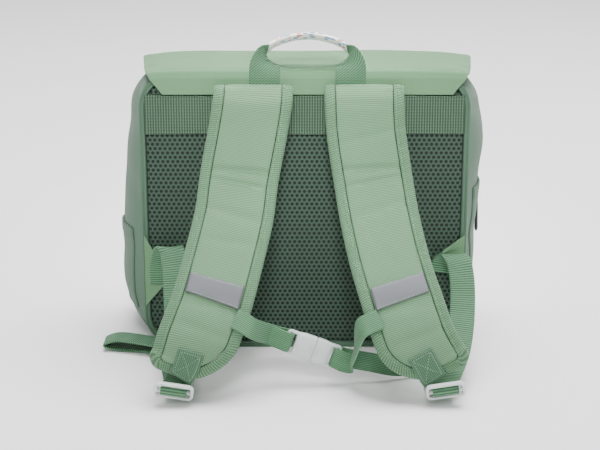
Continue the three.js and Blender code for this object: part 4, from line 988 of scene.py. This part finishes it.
def makeBuckleHalf(name, sign, mouth):
    # Rounded body swept along the buckle, a bow that leaves a slot for the webbing, and a raised ridge
    b = buckle
    end = b["length"] / 2
    near = end - b["bar"] - b["slot"]
    places = np.array([mouth, mouth + 0.5, mouth + 1.6, mouth + 4, near * 0.6, near - 3, near - 0.8, near])
    wide = b["width"] * np.array([0.93, 0.98, 1.0, 1.0, 0.99, 0.94, 0.92, 0.86])
    tall = b["thickness"] * np.array([0.8, 0.94, 1.0, 1.0, 1.0, 0.9, 0.8, 0.62])
    rail = b["width"] / 2 * 0.92 - 1.3
    bow = np.array([(near - 2, rail), (near + 3, rail), (end - 3.5, rail), (end - 1.5, rail * 0.86),
                    (end - 1.5, 0), (end - 1.5, -rail * 0.86), (end - 3.5, -rail), (near + 3, -rail),
                    (near - 2, -rail)])
    curve = smoothCurve(np.hstack([bow * [sign, 1], np.zeros((len(bow), 1))]), 12)["table"][:, :2]
    ridge = sign * np.array([mouth + 3, mouth + 5, near - 5, near - 3])
    parts = [flatBar(spread(sign * places, 0.0), wide, tall, 0.45),
             flatBar(curve, b["bar"], b["thickness"] * 0.62),
             flatBar(spread(ridge, 0.0), b["width"] * 0.42, b["thickness"] * 1.12, 0.6)]
    if name == "buckle_plug":
        # Tongue that reaches into the socket
        parts.append(flatBar([(-9, 0), (-8, 0), (0, 0), (mouth + 2, 0)], 17, 3.6, 0.5))
    points, faces = joinParts(parts)
    addPiece(name, onFrame(buckleFrame(), points), faces, None, acetal, [name])


makeBuckleHalf("buckle_socket", -1, buckle["socketMouth"])
makeBuckleHalf("buckle_plug", 1, buckle["plugMouth"])


def makeChestStrap(strap):
    # From the strap's binding round the buckle's bar, then back along itself, or at the right to a free tail
    b, h, sign = buckle, harness, strap["sign"]
    along = strap["length"] * b["place"]
    tangent = strapFrame(strap, np.array([along]))[1][0]
    leaf = b["webbingThickness"] / 2
    front = h["bindingThickness"] / 2 + 0.45 + leaf
    edge = -sign * h["width"] / 2
    over = b["thickness"] / 2 + 0.6 + leaf
    bar = b["length"] / 2 - b["bar"] / 2
    slot = b["length"] / 2 - b["bar"] - b["slot"] / 2
    seats = [(along, edge + sign * (h["binding"] + 2), front), (along + 1, edge + sign * 4, front),
             (along + 3, edge - sign * 6, front - 2)]
    stations = [(onStrap(strap, *np.array(seat)[:, None])[0], tangent) for seat in seats]
    keeper = 1.44
    rows = {
        "left": [(bar + 14, keeper), (bar + 3, over - 1), (bar - 1, over), (slot + 0.8, over - 1.6), (slot, 0),
                 (slot + 0.8, 1.6 - over), (bar - 1, -over), (bar + 4, 1 - over), (bar + 16, -keeper - 0.4),
                 (bar + 24, -keeper - 0.8)],
        "right": [(bar + 12, -over), (bar - 1, -over), (slot + 0.8, 1.6 - over), (slot, 0),
                  (slot + 0.8, over - 1.6), (bar, over), (bar + 9, over + 1)],
    }
    axes = buckleFrame()
    stations += [(onFrame(axes, (sign * x, 0, z)), axes[2]) for x, z in rows[strap["side"]]]
    if sign > 0:
        y, low = b["middle"][1], b["webbing"] / 2 + 1.2
        stations += [((64, y + 9, low + 9), (-0.2, 0, -1)), ((88, y + 12, low + 3), (-0.15, 0, -1)),
                     ((108, y + 18, low + 0.5), (-0.05, 0, -1))]
    makeWebbing("chest_strap_" + strap["side"], stations, b["webbing"], b["webbingThickness"], b["rib"], True,
                b["rows"], webbingCloth)


for strap in straps.values():
    makeChestStrap(strap)
print("webbing made")

# Handle

handle = {"middle": 3.0, "half": 42.5, "seat": -75.2, "low": 272.5, "top": 326.0, "width": 30.0, "thickness": 1.8,
          "rib": 2.7, "rows": 520, "sleeveWidth": 34.0, "sleeveThickness": 5.6, "sleeveFrom": 4.25,
          "sleeveTo": 9.75, "sleeveRows": 150, "sleeveColumns": 56, "lean": 17.0}
# Small round spots on off-white; spacing in mm, size as a share of it
spots = {"base": "#efeee6", "colours": ("#6f95b8", "#d98b74", "#c9705f", "#4d77a8"), "ends": (0.38, 0.5, 0.62),
         "spacing": 7.5, "size": 0.42}


def handleStations():
    # Half of the loop, x and y from its middle at the seat, height and turn of the webbing; then the other half
    h = handle
    half, top = h["half"], h["top"]
    rows = [(half, 0, h["low"], 0), (half, -0.5, top - 36, 0), (half, 0, top - 28, 10), (half, 4, top - 20.5, 50),
            (half * 0.97, 9, top - 14, 85), (half * 0.8, 12.5, top - 8, 90), (half * 0.42, 14.5, top - 2.2, 90),
            (0, 15, top, 90)]
    lean = math.radians(h["lean"])
    stations = []
    for side, part in ((-1, rows), (1, rows[:-1][::-1])):
        for x, y, z, turn in part:
            t = math.radians(turn)
            across = (-side * math.cos(t), math.sin(t) * math.cos(lean), -math.sin(t) * math.sin(lean))
            stations.append(((h["middle"] + side * x, h["seat"] + y, z), across))
    return stations


def spottedCotton(s):
    # Printed cotton: matt, off-white, each cell of a Voronoi pattern holds one spot, its colour by chance
    material, tree, shader = newMaterial("printed cotton", {"Roughness": 0.8})
    cloth = addNode(tree, "ShaderNodeUVMap", uv_map="cloth").outputs[0]
    cells = addNode(tree, "ShaderNodeTexVoronoi", {"Vector": cloth, "Scale": 1 / (s["spacing"] * mm),
                                                   "Randomness": 0.7})
    spot = addNode(tree, "ShaderNodeMath", {0: cells.outputs["Distance"], 1: s["size"]}, operation="LESS_THAN")
    pick = addNode(tree, "ShaderNodeValToRGB", {"Fac": cells.outputs["Color"]})
    stops = pick.color_ramp.elements
    pick.color_ramp.interpolation = "CONSTANT"
    stops[0].color = linear(s["colours"][0])
    stops[1].position = s["ends"][0]
    stops[1].color = linear(s["colours"][1])
    for place, colour in zip(s["ends"][1:], s["colours"][2:]):
        stops.new(place).color = linear(colour)
    mix = addNode(tree, "ShaderNodeMix", {"Factor": spot.outputs[0], 6: linear(s["base"]),
                                          7: pick.outputs["Color"]}, data_type="RGBA")
    tree.links.new(mix.outputs[2], shader.inputs["Base Color"])
    return material


def makeHandle():
    # Webbing over the whole route, then the padded sleeve over its middle, gathered a little at both ends
    h = handle
    stations = handleStations()
    makeWebbing("handle_webbing", stations, h["width"], h["thickness"], h["rib"], False, h["rows"], handleCloth)
    frames = ribbonFrames(stations, 600)
    start, end = [frames["run"][int(h[key] * stepsPerBend)] for key in ("sleeveFrom", "sleeveTo")]
    along = np.linspace(start, end, h["sleeveRows"])
    point, across, out = [readAt(frames[key], frames["along"], along) for key in ("point", "across", "out")]
    angle = np.linspace(0, 2 * math.pi, h["sleeveColumns"], endpoint=False)
    share = np.linspace(0, 1, h["sleeveRows"])[:, None]
    close = np.sqrt(np.clip(1 - np.abs(2 * share - 1) ** 14, 0, 1))
    wrinkle = 1 + 0.035 * np.sin(share * 44 + 2 * np.cos(angle)) + 0.03 * np.sin(share * 71 + 3 * angle)
    wide = h["sleeveWidth"] / 2 * squared(np.cos(angle), 0.7) * (0.9 + 0.1 * close)
    tall = h["sleeveThickness"] / 2 * np.sin(angle) * (0.55 + 0.45 * close) * wrinkle
    points, faces = closedSweep(point, unit(across), unit(out), wide, tall)
    piece = addPiece("handle_sleeve", points, faces, spread(along[:, None], angle * 11.0), spottedCotton(spots),
                     ["handle_sleeve"])


makeHandle()
print("handle made")

# Wings in the side seams

# Shares of the bag's height: seam's low end, apex's low and high ends, seam's high end
wings = {"width": 22.0, "left": (0.163, 0.251, 0.282, 0.423), "right": (0.275, 0.335, 0.365, 0.423)}


def makeWing(strap):
    # Cloth from the side seam to the webbing: share from seam to apex, share up, with folds that fan from the apex
    side, width = strap["side"], wings["width"]
    seam = bag["width"] / 2 - bag["piping"] * 2 + 4
    u = np.linspace(0, 1, 50)[:, None]
    v = np.linspace(0, 1, 70)[None, :]
    low, apexLow, apexHigh, high = [bag["height"] * value for value in wings[side]]
    x = strap["sign"] * (seam - width * u)
    z = (low + (apexLow - low) * u) * (1 - v) + (high + (apexHigh - high) * u) * v
    fold = 1.1 * np.sin(v * math.pi * 5.2 + 0.8) * u * (1 - 0.4 * u) + 0.5 * np.sin(v * math.pi * 11) * (1 - u) * u
    hem = 0.5 * smooth(3.4, 2.6, np.minimum(v, 1 - v) * (high - low) * (1 - u * 0.8))
    face = bag["back"] - 0.9
    outer = spread(x, face - bag["wall"] - np.maximum(fold, -0.9) - hem, z)
    section, faces = closedSlab(outer, spread(x, face, z))
    piece = addPiece("wing_" + side, section, faces, section[..., [0, 2]], canvas, ["wing_" + side])


for strap in straps.values():
    makeWing(strap)

# Side pockets and zip

sideTall = bag["height"] - 2 * bag["corner"]
# Backs and middle are shares of the bag's depth; tops, start and level count fifths of the side's straight height
pockets = {"backs": (0.12, 0.56), "tops": (("left", -1, 2), ("right", 1, 3)), "offset": 0.4, "thickness": 1.6,
           "hem": 0.7}
zipper = {"middle": 0.7, "width": 14.0, "length": 150.0, "thickness": 1.4, "start": 0.7, "level": 2.6,
          "tooth": 2.0, "offset": 0.6, "pull": 42.0, "pullWidth": 6.5}


def onSide(side, level, offset, back):
    # Place outside a side: level counts fifths of its straight height, back is the share of the depth
    top = bag["height"] - bag["frontDrop"] * back
    z = bag["corner"] + (top - 2 * bag["corner"]) * level / 5
    return spread(side * (sideReach(side, z / bag["height"], back) + offset), shellBack + shellDepth * back, z)


def sideSheet(name, side, backs, ups, offset, thickness, material, hemTop=0.0):
    # Sheet over a side: share of the depth across, level up, thickened outwards, with a hem at the top
    back = np.linspace(*backs, 60)[:, None]
    level = np.linspace(*ups, 80)[None, :]
    fromTop = (ups[1] - level) / 5 * sideTall
    edge = np.minimum((back - backs[0]), (backs[1] - back)) * shellDepth
    hem = hemTop * (smooth(12.5, 11.5, fromTop) - 0.6 * bump(fromTop, 10, 0.7))
    rounded = 0.35 + 0.65 * np.sqrt(np.clip(np.minimum(edge, fromTop) / 1.2, 0, 1))
    section, faces = closedSlab(onSide(side, level, offset + thickness * rounded + hem, back),
                                onSide(side, level, offset, back))
    return addPiece(name, section, faces, section[..., [1, 2]], material, [name])


for name, side, top in pockets["tops"]:
    pocket = sideSheet("side_pocket_" + name, side, pockets["backs"], (0, top), pockets["offset"],
                       pockets["thickness"], shadedGussetCanvas, pockets["hem"])


def zipPart(name, line, wide, tall, power, origin):
    # Moulded bar that hangs down the side from its origin
    axes = (origin, np.array([0.0, 0, -1]), np.array([0.0, 1, 0]), np.array([1.0, 0, 0]))
    points, faces = flatBar(line, wide, tall, power)
    addPiece(name, onFrame(axes, points), faces, None, nylon, [name])


def makeZip():
    # Tape with a row of moulded teeth, a slider, and a hanging pull that widens to its end
    zp = zipper
    half = zp["width"] / 2 / shellDepth
    span = zp["length"] / sideTall * 5
    tape = sideSheet("zip_tape", 1, (zp["middle"] - half, zp["middle"] + half), (zp["start"], zp["start"] + span),
                     zp["offset"], zp["thickness"], zipCloth)
    face = zp["offset"] + zp["thickness"]
    levels = np.arange(zp["start"] + 0.05, zp["start"] + span - 0.05, zp["tooth"] / sideTall * 5)
    seat = onSide(1, levels, face + 0.4, zp["middle"])
    tooth = np.array([(x, y, z) for x in (-0.6, 0.6) for y in (-2.2, 2.2) for z in (-0.6, 0.6)])
    quads = np.array([(0, 1, 3, 2), (4, 6, 7, 5), (0, 4, 5, 1), (2, 3, 7, 6), (0, 2, 6, 4), (1, 5, 7, 3)])
    faces = (quads[None] + (np.arange(len(levels)) * 8)[:, None, None]).reshape(-1, 4)
    addPiece("zip_teeth", seat[:, None] + tooth[None], [faces], None, nylon)
    top = onSide(1, np.array([zp["level"]]), face + 0.3, zp["middle"])[0]
    zipPart("zip_slider", [(-6, 0), (-5, 0), (-2, 0), (2, 0), (5, 0), (6, 0)], [5, 7.5, 9, 9, 8, 6],
            [2, 3.6, 4, 4, 3.6, 2.4], 0.6, top + [2.7, 0, 0])
    down = np.array([0, 0.06, 0.14, 0.2, 0.3, 0.5, 0.75, 0.92, 1]) * zp["pull"]
    wide = np.array([0.5, 0.42, 0.42, 0.32, 0.5, 0.6, 0.72, 0.85, 0.5]) * zp["pullWidth"] * 1.3
    zipPart("zip_pull", spread(down, 0.0), wide, wide * 0.54, 0.8, top + [3.4, 0, -6.3])


makeZip()

# Clasps of the flap

clasp = {"width": 34.0, "height": 46.0, "thickness": 4.2, "spacing": 85.0, "shift": 1.0, "tongue": 3.3}


def makeClasp(name, side):
    # Plain clasp: a rounded plate in front of the flap's lower edge, and a tongue behind it under the edge
    c, f = clasp, flapCut
    face = bag["back"] + bag["depth"] + 2 * bag["gap"] + f["stand"] + f["thickness"]
    edge = bag["height"] + f["lift"] + f["thickness"] / 2 - bag["frontDrop"] - f["drop"]
    origin = np.array([f["shift"] + c["shift"] + side * c["spacing"], face + c["thickness"] / 2, edge])
    axes = (origin, np.array([0.0, 0, 1]), np.array([1.0, 0, 0]), np.array([0.0, -1, 0]))
    low, high = -c["height"] * 0.6, c["height"] * 0.4
    plate = flatBar([(low, 0), (low + 1, 0), (low + 6, 0), (0, 0), (high - 6, 0), (high - 1, 0), (high, 0)],
                    c["width"] * np.array([0.8, 0.93, 1, 1, 1, 0.93, 0.8]),
                    c["thickness"] * np.array([0.7, 0.95, 1, 1, 1, 0.95, 0.7]), 0.3)
    tongue, tongueFaces = flatBar([(low, 0), (low + 2, 0), (-4, 0), (-2.5, 0)], c["width"] * 0.9, c["tongue"], 0.3)
    points, faces = joinParts([plate, (tongue + [0, 0, 3.9], tongueFaces)])
    addPiece(name, onFrame(axes, points), faces, None, acetal, [name])


makeClasp("flap_clasp_left", -1)
makeClasp("flap_clasp_right", 1)
print("side pieces and clasps made")

# Floor and light: a large soft light overhead, a weak narrow one in front that lifts the harness, and a pale sky

stage = {
    "key": {"power": 195.0, "size": 2.2, "spread": 180.0, "spot": (0.35, 0.35, 3.0), "aim": (0, 0, 0.1)},
    "front": {"power": 0.75, "size": 0.35, "spread": 22.0, "spot": (0, -0.95, 0.95), "aim": (0, -0.1, 0.3)},
    "sky": 0.7, "floor": "#fdfdfd", "floorHalf": 9000.0, "floorDrop": 0.2,
}


def addStage(s):
    far, low = s["floorHalf"], -s["floorDrop"]
    corners = [(-far, -far, low), (far, -far, low), (far, far, low), (-far, far, low)]
    plane = makeMesh("floor", corners, [np.array([[0, 1, 2, 3]])])
    plane.data.materials.append(newMaterial("pale floor", {"Roughness": 0.9, "Base Color": linear(s["floor"])})[0])
    for name in ("key", "front"):
        lamp = s[name]
        data = bpy.data.lights.new(name, "AREA")
        data.energy = lamp["power"]
        data.size = lamp["size"]
        data.spread = math.radians(lamp["spread"])
        obj = addObject(name, data)
        obj.location = lamp["spot"]
        obj.rotation_euler = (Vector(lamp["aim"]) - Vector(lamp["spot"])).to_track_quat("-Z", "Y").to_euler()
    world = bpy.data.worlds.new("sky")
    world.use_nodes = True
    background = world.node_tree.nodes["Background"]
    background.inputs["Color"].default_value = (1, 1, 1, 1)
    background.inputs["Strength"].default_value = s["sky"]
    bpy.context.scene.world = world


addStage(stage)
